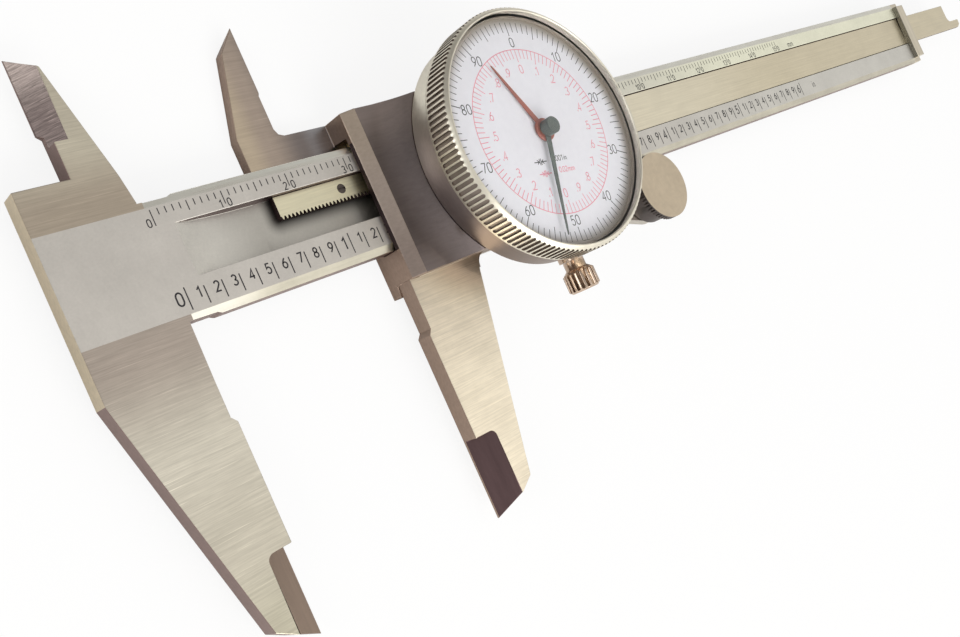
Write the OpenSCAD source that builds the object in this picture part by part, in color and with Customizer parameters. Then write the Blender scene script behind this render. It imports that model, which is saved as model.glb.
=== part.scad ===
// Dial caliper, 150 mm or 6 inch, with a two-pointer dial.
// It lies on its back: +Z is up and out of the dial, +X runs along the beam away from the
// fixed jaw, and +Y points to the inside jaws. The origin is the middle of the fixed outside
// jaw's measuring face, halfway through the beam's thickness.

/* [Opening] */
// Gap between the outside jaws as the caliper lies
opening = 31.83; // [5:0.01:60]
// Longest opening that the slider reaches
travel = 150; // [120:1:180]

/* [Beam] */
// Width of the beam
beam_w = 16; // [15.4:0.1:18]
// Thickness of the beam and of both outside jaws
beam_t = 3; // [2.9:0.1:3.6]
// Width of the bevel along each front edge of the beam
edge_bevel_w = 1.1; // [0.4:0.1:1.4]
// Depth of that bevel
edge_bevel_t = 0.4; // [0.2:0.05:0.8]
// Height of the groove that holds the rack and the depth bar
groove_w = 7.1; // [6.8:0.1:7.6]
// Depth of the groove
groove_t = 2.2; // [2.1:0.05:2.4]
// Height of the groove's middle above the beam's centre line
groove_y = 0.68; // [0.4:0.01:0.9]
// Radius of the cutter that runs out at the groove's left end
groove_cutter_r = 35; // [20:1:60]
// How far the beam runs on past the slider at full travel
beam_spare = 8.1; // [6:0.1:20]

/* [Outside jaws] */
// Depth of the jaws below the beam's centre line
jaw_reach = 48.3; // [44:0.1:60]
// Width of the fixed jaw and of its block
jaw_w = 14; // [12:0.1:18]
// Width of a jaw at the foot of its taper
jaw_foot_w = 6.4; // [5:0.1:8]
// Height of the slanted foot above the tip
jaw_foot_h = 3.4; // [2:0.1:5]
// Depth of the relief beside the beam
relief_t = 0.65; // [0.2:0.05:1]
// Distance from the centre line to the end of that relief
relief_end = 20; // [17:0.1:24]
// Width of the thin measuring edge's bevel
knife_w = 3.7; // [2:0.1:4.5]
// Length of the thin measuring edge
knife_l = 11.7; // [6:0.1:16]
// Thickness left at the measuring edge
knife_land = 0.45; // [0.3:0.05:1]
// Distance from the origin up to the beam's lower edge
origin_drop = 20; // [10:0.5:30]

/* [Inside jaws] */
// Height of the inside jaws' tips above the centre line
nib_reach = 29; // [24:0.1:36]
// Distance from the outside faces back to the inside faces
nib_face_x = 7.6; // [6.5:0.1:9]
// Width of the inside jaws just above the beam
nib_root_w = 6.4; // [5:0.1:7]
// Length of the inside measuring edge
nib_edge_l = 9.8; // [6:0.1:12]
// Height of the shoulders beside the inside jaws
shoulder_y = 12.5; // [11:0.1:15]

/* [Slider] */
// Length of the slider
slider_l = 52.5; // [50:0.5:60]
// Distance from the jaw face to the reading edge
edge_x = 0.5; // [0.2:0.1:1.5]
// Height of the slider's lower edge below the centre line
slider_low = 12.65; // [11.5:0.05:14]
// Height of the front plate above the scale face
plate_t = 2; // [1.6:0.1:3]
// Height of the reading edge above the scale face
edge_t = 1; // [0.5:0.1:1.5]
// Width of the slope behind the reading edge
edge_slope_w = 2; // [1:0.1:4]
// Thickness of the slider's back wall
back_t = 1.92; // [1.4:0.02:2.6]
// Length of the part of the slider whose back is closed in one piece
bridge_l = 13.6; // [12:0.1:16]
// Sliding clearance round the beam
slide_gap = 0.08; // [0.05:0.01:0.15]
// Thickness of the gib along the beam's top edge
gib_t = 1; // [0.8:0.05:1.4]

/* [Rack] */
// Pitch of the rack's teeth
rack_pitch = 0.635; // [0.6:0.005:0.7]
// Teeth on the pinion that runs on the rack
rack_pinion_n = 16; // [14:1:18]
// Distance from the fixed jaw face to the rack's left end
rack_x0 = 18; // [15:0.1:18.5]
// Thickness of the rack
rack_t = 1.05; // [0.9:0.05:1.15]
// Height of the rack's tooth tips above the centre line
rack_tip_y = 0.95; // [0.8:0.01:1.2]
// Thickness of the depth bar
bar_t = 0.8; // [0.6:0.05:0.9]
// Clearance on each side of the rack and the depth bar in the groove
bar_gap = 0.1; // [0.05:0.01:0.2]
// Length of the narrow nose at the depth bar's end
bar_nose_l = 6.4; // [3:0.1:8]
// Height of that nose
bar_nose_w = 2.1; // [1.5:0.1:3]
// Radius in the corner behind that nose
bar_nose_r = 1.6; // [0.5:0.1:3]

/* [Dial] */
// Distance from the moving jaw face to the dial's centre
dial_x = 26.6; // [25:0.1:30]
// Radius of the case
case_r = 18.5; // [18:0.1:19]
// Height of the case's underside above the scale face
case_z = 3.5; // [3:0.1:4.5]
// Height of the case's shoulder above its underside
case_h = 4.5; // [4:0.1:5.5]
// Wall of the case
case_wall = 1.1; // [0.8:0.1:1.4]
// How far the bezel's knurling stands out beyond the case
bezel_over = 0.8; // [0.3:0.05:1.5]
// Wall of the bezel outside the dial plate
bezel_wall = 0.65; // [0.6:0.05:1.2]
// Overhang of the bezel's lip over the crystal
bezel_lip = 0.25; // [0.2:0.05:0.6]
// Height of the bezel
bezel_h = 4.9; // [4.7:0.1:6]
// Number of slots in the knurling
bezel_slots = 140; // [90:1:160]
// Depth of those slots
slot_t = 0.35; // [0.15:0.05:0.4]
// Height of the dial's face above the scale face
dial_z = 11; // [10.8:0.05:11.4]
// Thickness of the dial plate
dial_t = 0.4; // [0.3:0.05:0.5]
// Radius of the dome on the crystal
crystal_dome_r = 110; // [90:5:300]
// Turn of the dial's zero from +X
zero_angle = 83.4; // [60:0.1:120]

/* [Movement] */
// Distance between the gears' axes
gear_centres = 7.6; // [7.4:0.05:7.8]
// Teeth on the gear that drives the inch pointer
inch_gear_n = 100; // [80:1:110]
// Teeth on the gear that drives the millimetre pointer
mm_gear_n = 127; // [110:1:135]
// Teeth on both pointer pinions
pointer_pinion_n = 25; // [20:1:30]
// Thickness of the gears
gear_t = 0.6; // [0.4:0.05:0.7]
// Height of the inch gear above the scale face
inch_gear_z = 4.95; // [4.9:0.05:5.2]
// Height of the millimetre gear above the scale face
mm_gear_z = 6.9; // [6.6:0.05:7.2]
// Radius of the inch pointer's arbor
arbor_r = 0.45; // [0.4:0.01:0.5]
// Radius of the pinion's arbor
shaft_r = 0.6; // [0.5:0.05:0.8]
// Outer radius of the millimetre pointer's tube
tube_r = 0.85; // [0.75:0.05:1]
// Running clearance in the bearings
bearing_gap = 0.04; // [0.02:0.01:0.06]
// Gap between the inch pointer's tip and the bezel's lip
inch_pointer_gap = 1.8; // [0.8:0.1:3]
// Radius of the millimetre pointer's hub
mm_hub_r = 1.8; // [1.5:0.05:2.2]
// Gap between the millimetre pointer's tip and the bezel's lip
mm_pointer_gap = 6.1; // [4:0.1:8]

/* [Controls] */
// Radius of the thumb roller
roller_r = 6.05; // [5.8:0.05:7]
// Thickness of the thumb roller's knurled rim
roller_t = 1.35; // [1:0.05:1.6]
// Radius of the roller's drum that runs along the beam's edge
drum_r = 5.35; // [5:0.05:5.5]
// Distance from the slider's right end to the thumb roller's axis
roller_out = 6.9; // [6.5:0.1:15]
// Radius of the bezel screw's fluted head
lock_head_r = 2.5; // [2:0.1:3]
// Length of that head
lock_head_l = 3.6; // [2.5:0.1:5]
// Distance from the moving jaw face to the slide lock screw
lock_x = 26.6; // [24:0.1:30]

/* [Screws] */
// Radius of the small screws
screw_r = 0.8; // [0.6:0.05:1]
// Radius of their heads
screw_head_r = 1.5; // [1.3:0.05:1.8]
// Height of their heads
screw_head_t = 0.7; // [0.5:0.05:0.9]
// Length of their thread
screw_l = 1.9; // [1.5:0.1:2.4]
// Width of their slots
screw_slot_w = 0.3; // [0.2:0.05:0.4]
// Depth of their slots
screw_slot_t = 0.35; // [0.2:0.05:0.5]
// Radial clearance of what is screwed or pressed together
fit_gap = 0.03; // [0.01:0.01:0.05]

/* [Hidden] */
$fn = 96;
eps = 0.01;

// Beam
half_w = beam_w / 2;
beam_back = -beam_t;
root_relief = 0.3;
root_relief_l = 4.2;
slider_right = edge_x + slider_l;
beam_end = travel + slider_right + beam_spare;
stop_l = 3.7;
stop_lip = 1;
stop_w = beam_w - 2 * edge_bevel_w;
groove_top = groove_y + groove_w / 2;
groove_low = groove_y - groove_w / 2;
groove_floor = -groove_t;
groove_x0 = 2.9;
groove_run = sqrt(2 * groove_cutter_r * groove_t - groove_t * groove_t);

// Jaws
foot_top = -jaw_reach + jaw_foot_h;
taper_top = -13.5;
knife_top = -jaw_reach + knife_l;
jaw_fillet_r = 2;
back_low = slider_low + 1.7;
tooth_ramp = 0.9;
nib_tip_h = 2.3;
nib_edge_end = nib_reach - nib_edge_l;
nib_relief = 0.6;
nib_bevel_w = 2.4;
nib_land = 0.3;

// Slider
channel_low = -half_w - slide_gap;
channel_top = half_w + gib_t + 2 * slide_gap;
back_in = beam_back - slide_gap;
back_z = back_in - back_t;
bridge_x = edge_x + bridge_l;
plate_gap = 0.05;
wall_mid_top = (channel_top + shoulder_y) / 2;
wall_mid_low = (channel_low - slider_low) / 2;

// Rack and depth bar
rack_m = rack_pitch / PI;
rack_top_y = groove_top - bar_gap;
rack_z = groove_floor + rack_t;
rack_x1 = rack_x0 + ceil((travel + 4) / rack_pitch) * rack_pitch;
rack_screw_r = 0.7;
bar_z = rack_z + bar_gap;
bar_top_z = bar_z + bar_t;
bar_low_y = groove_low + bar_gap;
bar_x0 = 38;
bar_tip = beam_end + stop_l;
pitch_gap = 0.03;
pinion_r = rack_m * rack_pinion_n / 2;
pinion_y = rack_tip_y + rack_m - pinion_r - pitch_gap;
pinion_x = dial_x - sqrt(gear_centres * gear_centres - pinion_y * pinion_y);
pinion_z = groove_floor + 0.15;
pinion_top = rack_z - 0.1;

// Gear train
inch_m = 2 * gear_centres / (inch_gear_n + pointer_pinion_n);
mm_m = 2 * gear_centres / (mm_gear_n + pointer_pinion_n);
train_angle = atan2(-pinion_y, dial_x - pinion_x);
take_up_angle = 0;
rack_gap_x = rack_x0 + rack_pitch * round((opening + pinion_x - rack_x0) / rack_pitch);
pinion_phase = 90 - (rack_gap_x - opening - pinion_x) / pinion_r * 180 / PI;
inch_phase = mesh_phase(0, inch_gear_n, pointer_pinion_n, train_angle);
mm_phase = mesh_phase(0, mm_gear_n, pointer_pinion_n, train_angle);
take_up_phase = mesh_phase(inch_phase, pointer_pinion_n, inch_gear_n, take_up_angle);
inch_turn = 2.54;
mm_turn = 2;
inch_angle = zero_angle - 360 * opening / inch_turn;
mm_angle = zero_angle - 360 * opening / mm_turn;

// Case, dial and bezel
case_floor_t = 0.8;
case_seam = 0.25;
case_floor = case_z + case_floor_t;
case_top = case_z + case_h;
case_in_r = case_r - case_wall;
spigot_r = case_in_r + 0.1;
spigot_in_r = spigot_r - 0.7;
spigot_top = dial_z - dial_t - 0.45;
bezel_z = case_top + 0.12;
bezel_top = bezel_z + bezel_h;
bezel_bore = spigot_r + bearing_gap;
bezel_r = case_r + bezel_over;
rim_bore = bezel_r - bezel_wall;
ledge_z = dial_z - dial_t;
lip_r = rim_bore - bezel_lip;
inch_pointer_l = lip_r - inch_pointer_gap;
mm_pointer_l = lip_r - mm_pointer_gap;
lip_t = 0.55;
crystal_z = bezel_top - lip_t - 0.8;
crystal_t = 0.8;
pillar_r = 1.3;
pillar_ring = case_r - 6.2;
pillar_angles = [90, 235, 305];
plate_z = mm_gear_z + gear_t + 1;
movement_plate_t = 0.8;
movement_plate_r = case_r - 4.2;
case_screw_x = 0.62 * case_r;
case_screw_y = 0.43 * case_r;
bush_r = 2;
centre_bush_r = 1.2;
hub_top = dial_z + 2;
hub_low = dial_z + 0.72;
pointer_t = 0.15;
mm_hub_top = dial_z + 0.6;

// Controls
roller_y = -half_w - drum_r - slide_gap;
roller_top = 2;
spindle_r = 1.5;
clip_r = 2.6;
clip_t = 0.4;
lock_z = case_z + case_h / 2 - 0.05;
roller_x = slider_right + roller_out;
collar_r = 2.15;
neck_r = 1.65;
lock_shank_r = 1;

// One flank-to-flank tooth outline repeated round a wheel of module m
function tooth_half(n, m, r) = (PI * m / 4 * 0.8 - (r - m * n / 2) * tan(20)) / r * 180 / PI;
function gear_points(n, m) = [for (i = [0 : n - 1])
    let (a = 360 * i / n, rp = m * n / 2, rt = rp + m, rr = rp - 1.25 * m)
    for (p = [[rr, -1], [rp, -1], [rt, -1], [rt, 1], [rp, 1], [rr, 1]])
        let (b = a + p[1] * tooth_half(n, m, p[0])) p[0] * [cos(b), sin(b)]];
// Turn of a wheel that puts its gap where the driving wheel has a tooth
function mesh_phase(phase, n1, n2, beta) =
    beta + 180 + (0.5 - (phase - beta) * n1 / 360) * 360 / n2;
// Outline with slots that are cut inwards from outside a knurled rim
function slot_points(n, r_out, r_in, share) = [for (i = [0 : n - 1])
    let (a = 360 * i / n, w = 360 / n * share / 2)
    for (p = [[r_out, a - w], [r_in, a - w], [r_in, a + w], [r_out, a + w]])
        p[0] * [cos(p[1]), sin(p[1])]];

// Frames that the pieces are drawn in
module on_beam() translate([0, half_w + origin_drop, beam_t / 2]) children();
module on_slider() on_beam() translate([opening, 0, 0]) children();
module on_dial() on_slider() translate([dial_x, 0, 0]) children();
module on_pinion() on_slider() translate([pinion_x, pinion_y, 0]) children();
module on_take_up() on_dial() rotate(take_up_angle) translate([gear_centres, 0, 0]) children();
module on_roller() on_slider() translate([roller_x, roller_y, 0]) children();
module on_bezel_lock() on_dial() translate([0, 0, lock_z]) rotate([90, 0, 0]) children();
module on_slide_lock() on_slider() translate([lock_x, 0, beam_back / 2]) rotate([-90, 0, 0]) children();

// Slot across a screw's head whose top is at z
module screw_slot(z) translate([-2 * screw_head_r, -screw_slot_w / 2, z - screw_slot_t])
    cube([4 * screw_head_r, screw_slot_w, 2 * screw_slot_t]);
module layer(z0, z1) translate([0, 0, z0]) linear_extrude(z1 - z0) children();
module rod(r, z0, z1) translate([0, 0, z0]) cylinder(r = r, h = z1 - z0);
module ring(r1, r0, z0, z1) difference() {
    rod(r1, z0, z1);
    rod(r0, z0 - eps, z1 + eps);
}
module gear(n, m, z0, z1, bore) layer(z0, z1) difference() {
    polygon(gear_points(n, m));
    circle(r = bore);
}
module knurl_cutter(n, r, t, z0, z1) layer(z0, z1) difference() {
    circle(r = r + 1);
    polygon(slot_points(n, r + 0.5, r - t, 0.55));
}

// Outline of an outside jaw from the beam's lower edge down, face at x = 0, body towards -x
module jaw_outline() polygon([
    [-jaw_w, 0], [-jaw_w, taper_top], [-jaw_foot_w, foot_top],
    [-jaw_foot_w + 2.2, foot_top - 1.3], [0, -jaw_reach], [0, -relief_end - tooth_ramp],
    [-relief_t, -relief_end], [-relief_t, 0]]);
// Bevel that thins a jaw to its measuring edge
module knife_bevel() intersection() {
    translate([0, knife_top + 0.5, 0]) rotate([90, 0, 0]) linear_extrude(jaw_reach)
        polygon([[-knife_w, 0], [-knife_w, 1], [1, 1],
            [1, beam_back + knife_land], [0, beam_back + knife_land]]);
    layer(beam_back - 1, 2) union() {
        translate([-knife_w + 1, -jaw_reach - 1]) square([knife_w + 1, knife_l + 1]);
        translate([-knife_w - 1, -jaw_reach - 1]) square([3, knife_l]);
        translate([-knife_w + 1, knife_top - 1]) circle(r = 1);
    }
}
// Bevel that thins an inside jaw to its measuring edge
module nib_bevel(z_flat, z_land) translate([0, nib_reach + 1, 0]) rotate([90, 0, 0])
    linear_extrude(nib_edge_l + 3) polygon([
        [-nib_face_x - 1, z_land], [-nib_face_x, z_land], [-nib_face_x + nib_bevel_w, z_flat],
        [-nib_face_x + nib_bevel_w, 2 * z_flat - z_land], [-nib_face_x - 1, 2 * z_flat - z_land]]);

module beam_outline() polygon([
    [0, -half_w + root_relief], [root_relief_l - 0.7, -half_w + root_relief],
    [root_relief_l, -half_w], [beam_end, -half_w], [beam_end, half_w],
    [root_relief_l, half_w], [root_relief_l - 0.7, half_w - root_relief],
    [0, half_w - root_relief]]);
module fixed_nib_outline() polygon([
    [-relief_t, 0], [-relief_t, half_w], [-relief_t - 0.6, shoulder_y - nib_foot],
    [-nib_face_x + 2.7, nib_reach - nib_tip_h - 0.3], [-nib_face_x + 2.2, nib_reach - nib_tip_h + 0.1],
    [-nib_face_x, nib_reach], [-nib_face_x, nib_edge_end],
    [-nib_face_x + nib_relief, nib_edge_end - 0.6], [-nib_face_x + nib_relief, shoulder_y],
    [-jaw_w, shoulder_y], [-jaw_w, 0]]);
nib_foot = 0.9;
// Groove with the run-out that a round cutter leaves at its left end
module groove() intersection() {
    layer(groove_floor - 1, 1) translate([0, groove_low]) square([beam_end + 1, groove_w]);
    translate([0, half_w, 0]) rotate([90, 0, 0]) linear_extrude(beam_w) union() {
        translate([groove_x0 + groove_run, groove_floor + groove_cutter_r])
            circle(r = groove_cutter_r, $fn = 180);
        translate([groove_x0 + groove_run, groove_floor]) square([beam_end, groove_t + 1]);
    }
}
module edge_bevels() for (s = [-1, 1]) scale([1, s, 1])
    translate([-1, 0, 0]) rotate([90, 0, 90]) linear_extrude(beam_end + 2) polygon([
        [half_w - edge_bevel_w, 0], [half_w - edge_bevel_w, 1], [half_w + 1, 1],
        [half_w + 1, -edge_bevel_t], [half_w, -edge_bevel_t]]);

module beam() color([0.66, 0.64, 0.58]) on_beam() difference() {
    layer(beam_back, 0) union() {
        beam_outline();
        fixed_nib_outline();
        jaw_outline();
        translate([-jaw_w, -half_w]) square([jaw_w - relief_t, beam_w]);
        translate([-relief_t - eps, -half_w + root_relief]) square([1, beam_w - 2 * root_relief]);
    }
    groove();
    difference() {
        edge_bevels();
        translate([-jaw_w, -beam_w, -2]) cube([jaw_w, 2 * beam_w, 4]);
    }
    knife_bevel();
    nib_bevel(0, beam_back + nib_land);
    for (x = rack_screw_xs) translate([x, rack_screw_y, 0]) rod(rack_screw_r, groove_floor - 0.6, 0);
    for (s = [-1, 1]) translate([beam_end, s * stop_screw_y, beam_back / 2]) rotate([0, 90, 0])
        rod(stop_screw_r, -3, 1);
}

rack_screw_y = (rack_tip_y + rack_top_y) / 2 + 0.2;
rack_screw_inset = 11;
rack_screw_xs = [for (i = [0 : 3])
    rack_x0 + rack_screw_inset + i * (rack_x1 - rack_x0 - 1.6 * rack_screw_inset) / 3];
module rack_outline() polygon(concat(
    [[rack_x0, rack_top_y], [rack_x0, rack_tip_y + 2.25 * rack_m]],
    [for (i = [0 : round((rack_x1 - rack_x0) / rack_pitch) - 1])
        let (x = rack_x0 + rack_pitch * i, q = rack_pitch / 4, d = tan(20) * rack_m)
        for (p = [[-q * 0.8 - 1.25 * d, 2.25], [-q * 0.8 + d, 0], [q * 0.8 - d, 0],
                [q * 0.8 + 1.25 * d, 2.25]])
            [x + rack_pitch / 2 + p[0], rack_tip_y + p[1] * rack_m]],
    [[rack_x1, rack_tip_y + 2.25 * rack_m], [rack_x1, rack_top_y]]));
module rack() color([0.78, 0.72, 0.6]) on_beam() difference() {
    layer(groove_floor, rack_z) rack_outline();
    for (x = rack_screw_xs) translate([x, rack_screw_y, 0])
        rod(rack_screw_r, groove_floor - 1, rack_z + 1);
}
module rack_screws() color([0.35, 0.3, 0.25]) on_beam()
    for (x = rack_screw_xs) translate([x, rack_screw_y, 0]) difference() {
        rod(rack_screw_r - fit_gap, groove_floor - 0.6, rack_z);
        translate([-rack_screw_r, -0.12, rack_z - 0.25]) cube([2 * rack_screw_r, 0.24, 1]);
    }

stop_screw_y = 5.6;
stop_screw_r = 0.75;
stop_head_r = 1.25;
module end_stop() color([0.7, 0.64, 0.55]) on_beam() difference() {
    translate([beam_end, 0, 0]) rotate([90, 0, 90]) linear_extrude(stop_l) difference() {
        union() {
            translate([-half_w, beam_back]) square([beam_w, beam_t - edge_bevel_t]);
            translate([-stop_w / 2, beam_back]) square([stop_w, beam_t + stop_lip]);
        }
        translate([bar_low_y - bar_gap, bar_z - bar_gap]) square([groove_w, bar_t + 2 * bar_gap]);
    }
    for (s = [-1, 1]) translate([beam_end, s * stop_screw_y, beam_back / 2]) rotate([0, 90, 0]) {
        rod(stop_screw_r, -1, stop_l + 1);
        translate([0, 0, stop_l - screw_head_t])
            cylinder(r1 = stop_screw_r, r2 = stop_head_r, h = screw_head_t + eps);
    }
}
module end_stop_screws() color([0.55, 0.52, 0.48]) on_beam()
    for (s = [-1, 1]) translate([beam_end, s * stop_screw_y, beam_back / 2]) rotate([0, 90, 0])
        difference() {
            union() {
                rod(stop_screw_r - fit_gap, -2.9, stop_l - screw_head_t);
                translate([0, 0, stop_l - screw_head_t])
                    cylinder(r1 = stop_screw_r - fit_gap, r2 = stop_head_r - fit_gap, h = screw_head_t);
            }
            screw_slot(stop_l);
        }

// Moving jaws, drawn from the moving jaw's face at x = 0
module moving_jaw() difference() {
    layer(beam_back, 0) intersection() {
        mirror([1, 0]) jaw_outline();
        translate([0, -jaw_reach]) square([jaw_w, jaw_reach + channel_low]);
    }
    mirror([1, 0, 0]) knife_bevel();
}
module moving_nib() difference() {
    layer(back_z, back_in) polygon([
        [bridge_x, arm_low], [1, arm_low], [-1, arm_low + 1], [-jaw_w + 2, arm_low + 1],
        [-jaw_w, arm_low + 3], [-jaw_w, shoulder_y + 0.9],
        [-nib_face_x - 3, nib_reach - 3.4], [-nib_face_x, nib_reach],
        [-nib_face_x, nib_edge_end], [-nib_face_x - 0.25, nib_edge_end - 0.5],
        [-nib_face_x - 0.25, shoulder_y + 1.2], [-nib_face_x + 0.15, shoulder_y + 0.35],
        [-nib_face_x + 1, shoulder_y], [bridge_x, shoulder_y]]);
    translate([-2 * nib_face_x, 0, 0]) mirror([1, 0, 0])
        nib_bevel(back_z, back_in - nib_land);
}
arm_low = 3;

// Slope that rises from the front plate to the round case
module case_flare() intersection() {
    translate([dial_x, 0, 0]) rotate_extrude($fn = 180) difference() {
        translate([0, plate_t - 0.5]) square([flare_r, case_z - plate_t + 0.5]);
        translate([flare_r, plate_t + flare_arc_r]) circle(r = flare_arc_r, $fn = 180);
    }
    layer(0, case_z) translate([edge_x + edge_slope_w, -slider_low])
        square([slider_l - edge_slope_w, slider_low + shoulder_y]);
}
flare_r = dial_x - edge_x - edge_slope_w;
flare_rise = case_z - plate_t;
flare_run = flare_r - case_r;
flare_arc_r = (flare_run * flare_run + flare_rise * flare_rise) / (2 * flare_rise);

module slider_body() color([0.5, 0.46, 0.41]) on_slider() difference() {
    union() {
        difference() {
            rotate([90, 0, 0]) translate([0, 0, -shoulder_y]) linear_extrude(shoulder_y + slider_low)
                polygon([[edge_x, back_z], [edge_x, edge_t], [edge_x + edge_slope_w, plate_t],
                    [slider_right, plate_t], [slider_right, back_in], [bridge_x, back_in],
                    [bridge_x, back_z]]);
            translate([-1, channel_low, back_in]) cube([slider_right + 2,
                channel_top - channel_low, slide_gap - back_in]);
        }
        moving_jaw();
        moving_nib();
        layer(back_z, beam_back + eps) translate([edge_x, -back_low])
            square([bridge_l - 1, back_low - slider_low + eps]);
        layer(beam_back, 0) translate([jaw_w, -slider_low - jaw_fillet_r]) difference() {
            translate([-1, 0]) square([jaw_fillet_r + 1, jaw_fillet_r + eps]);
            translate([jaw_fillet_r, 0]) circle(r = jaw_fillet_r);
        }
        case_flare();
        layer(bar_top_z, slide_gap + eps) translate([bar_pad_x, bar_low_y + 0.3])
            square([slider_right - bar_pad_x - 0.5, groove_w - 2 * bar_gap - 0.6]);
    }
    translate([pinion_x, pinion_y, 0]) rod(bush_r, -1, case_z + 1);
    for (p = gib_screw_xs) translate([p, 0, gib_z]) rotate([-90, 0, 0])
        rod(screw_r, half_w, shoulder_y + 1);
    translate([lock_x, 0, beam_back / 2]) rotate([-90, 0, 0])
        rod(screw_r + fit_gap, half_w, shoulder_y + 1);
    for (p = back_screw_ps) translate([p[0], p[1], 0])
        rod(screw_r, back_in - 1, back_in + back_screw_l + 0.1);
    for (x = bar_screw_xs) translate([x, groove_y, 0]) {
        rod(screw_r, bar_z - 1, plate_t + 1);
        translate([0, 0, plate_t - screw_head_t])
            cylinder(r1 = screw_r, r2 = screw_head_r, h = screw_head_t + eps);
    }
    for (p = case_screw_ps) translate([dial_x + p[0], p[1], 0])
        rod(screw_r, case_z - screw_l - 0.1, case_z + 1);
}
gib_z = beam_back / 2;
back_screw_l = 1.5 * screw_l;
arm_root = 14;
arm_neck = 8;
gib_screw_in = 11.75;
gib_screw_xs = [edge_x + gib_screw_in, slider_right - gib_screw_in];
back_screw_in = 4;
back_screw_ps = [for (x = [bridge_x + back_screw_in, slider_right - back_screw_in],
    y = [wall_mid_low, wall_mid_top]) [x, y]];
bar_screw_in = 1.8;
bar_screw_pitch = 3;
bar_pad_x = slider_right - 2 * bar_screw_in - bar_screw_pitch + 0.1;
bar_screw_xs = [slider_right - bar_screw_in - bar_screw_pitch, slider_right - bar_screw_in];
case_screw_ps = [for (x = [-1, 1], y = [-1, 1]) [x * case_screw_x, y * case_screw_y]];

module gib() color([0.75, 0.62, 0.35]) on_slider()
    translate([edge_x + 2, half_w + slide_gap, beam_back + 0.1])
        cube([slider_l - 4, gib_t, beam_t - 0.2 - edge_bevel_t]);
module gib_screws() color([0.3, 0.29, 0.28]) on_slider()
    for (p = gib_screw_xs) translate([p, 0, gib_z]) rotate([-90, 0, 0]) difference() {
        rod(screw_r - fit_gap, channel_top - slide_gap, shoulder_y - 0.3);
        screw_slot(shoulder_y - 0.3);
    }

module back_plate() color([0.6, 0.57, 0.52]) on_slider() difference() {
    layer(back_z, back_in) union() {
        translate([bridge_x + plate_gap, -slider_low])
            square([slider_right - bridge_x - plate_gap, slider_low + shoulder_y]);
        polygon([[slider_right - arm_root, -slider_low], [slider_right - arm_neck, -slider_low - 1.5],
            [roller_x - 1.5, roller_y - roller_arm_r + 0.25], [roller_x + 1, roller_y + roller_arm_r],
            [slider_right, channel_low - 1]]);
        translate([roller_x, roller_y]) circle(r = roller_arm_r);
    }
    for (p = back_screw_ps) translate([p[0], p[1], 0]) {
        rod(screw_r, back_z - 1, back_in + 1);
        translate([0, 0, back_z - eps]) cylinder(r1 = screw_head_r, r2 = screw_r, h = screw_head_t);
    }
    translate([roller_x, roller_y, 0]) {
        rod(spindle_r + bearing_gap, back_z - 1, back_in + 1);
        rod(clip_r + 0.3, back_z - 1, back_z + clip_t + 0.35);
    }
}
roller_arm_r = 5;
module back_plate_screws() color([0.5, 0.48, 0.45]) on_slider()
    for (p = back_screw_ps) translate([p[0], p[1], 0]) difference() {
        union() {
            rod(screw_r - fit_gap, back_z + screw_head_t, back_in + back_screw_l);
            translate([0, 0, back_z])
                cylinder(r1 = screw_head_r - fit_gap, r2 = screw_r - fit_gap, h = screw_head_t);
        }
        screw_slot(back_z);
    }

module depth_bar() color([0.72, 0.68, 0.58]) on_slider() difference() {
    layer(bar_z, bar_top_z) polygon([
        [bar_x0, bar_low_y], [bar_tip - 1.6, bar_low_y], [bar_tip, bar_low_y + 0.8],
        [bar_tip, bar_low_y + bar_nose_w],
        for (a = [270 : -15 : 180]) [bar_tip - bar_nose_l + bar_nose_r * (1 + cos(a)),
            bar_low_y + bar_nose_w + bar_nose_r * (1 + sin(a))],
        [bar_tip - bar_nose_l, rack_top_y], [bar_x0, rack_top_y]]);
    for (x = bar_screw_xs) translate([x, groove_y, 0]) rod(screw_r, bar_z - 1, 1);
}
module depth_bar_screws() color([0.5, 0.48, 0.45]) on_slider()
    for (x = bar_screw_xs) translate([x, groove_y, 0]) difference() {
        union() {
            rod(screw_r - fit_gap, bar_z + 0.02, plate_t - screw_head_t);
            translate([0, 0, plate_t - screw_head_t])
                cylinder(r1 = screw_r - fit_gap, r2 = screw_head_r - fit_gap, h = screw_head_t);
        }
        screw_slot(plate_t);
    }

module dial_case() color([0.62, 0.58, 0.5]) on_dial() difference() {
    union() {
        ring(case_r, case_in_r - 0.6, case_z + case_seam, case_top);
        ring(case_r - case_seam, case_in_r - 0.6, case_z, case_top);
        ring(spigot_r, spigot_in_r, case_top - eps, spigot_top);
        rod(case_r - 2 * case_seam, case_z, case_floor);
    }
    translate([0, 0, wire_z]) rotate_extrude() translate([spigot_r - 0.25, -0.3]) square([1, 0.6]);
    translate([pinion_x - dial_x, pinion_y, 0]) rod(bush_r, case_z - 1, case_floor + 1);
    rod(centre_bush_r, case_z - 1, case_floor + 1);
    for (p = case_screw_ps) translate([p[0], p[1], 0]) rod(screw_r, case_z - 1, case_floor + 1);
    translate([0, 0, lock_z]) rotate([90, 0, 0]) rod(lock_shank_r + bearing_gap, case_in_r - 2, case_r + 1);
}
wire_z = case_top + 0.9;
module case_screws() color([0.5, 0.48, 0.45]) on_dial()
    for (p = case_screw_ps) translate([p[0], p[1], 0]) difference() {
        union() {
            rod(screw_r - fit_gap, case_z - screw_l, case_floor);
            rod(1.5 * screw_r, case_floor, inch_gear_z - 0.1);
        }
        screw_slot(inch_gear_z - 0.1);
    }
module pinion_bush() color([0.78, 0.6, 0.28]) on_pinion()
    ring(bush_r, shaft_r + bearing_gap, slide_gap + 0.1, case_floor);
module centre_bush() color([0.78, 0.6, 0.28]) on_dial()
    ring(centre_bush_r, arbor_r + bearing_gap, case_z, case_floor);

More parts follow.
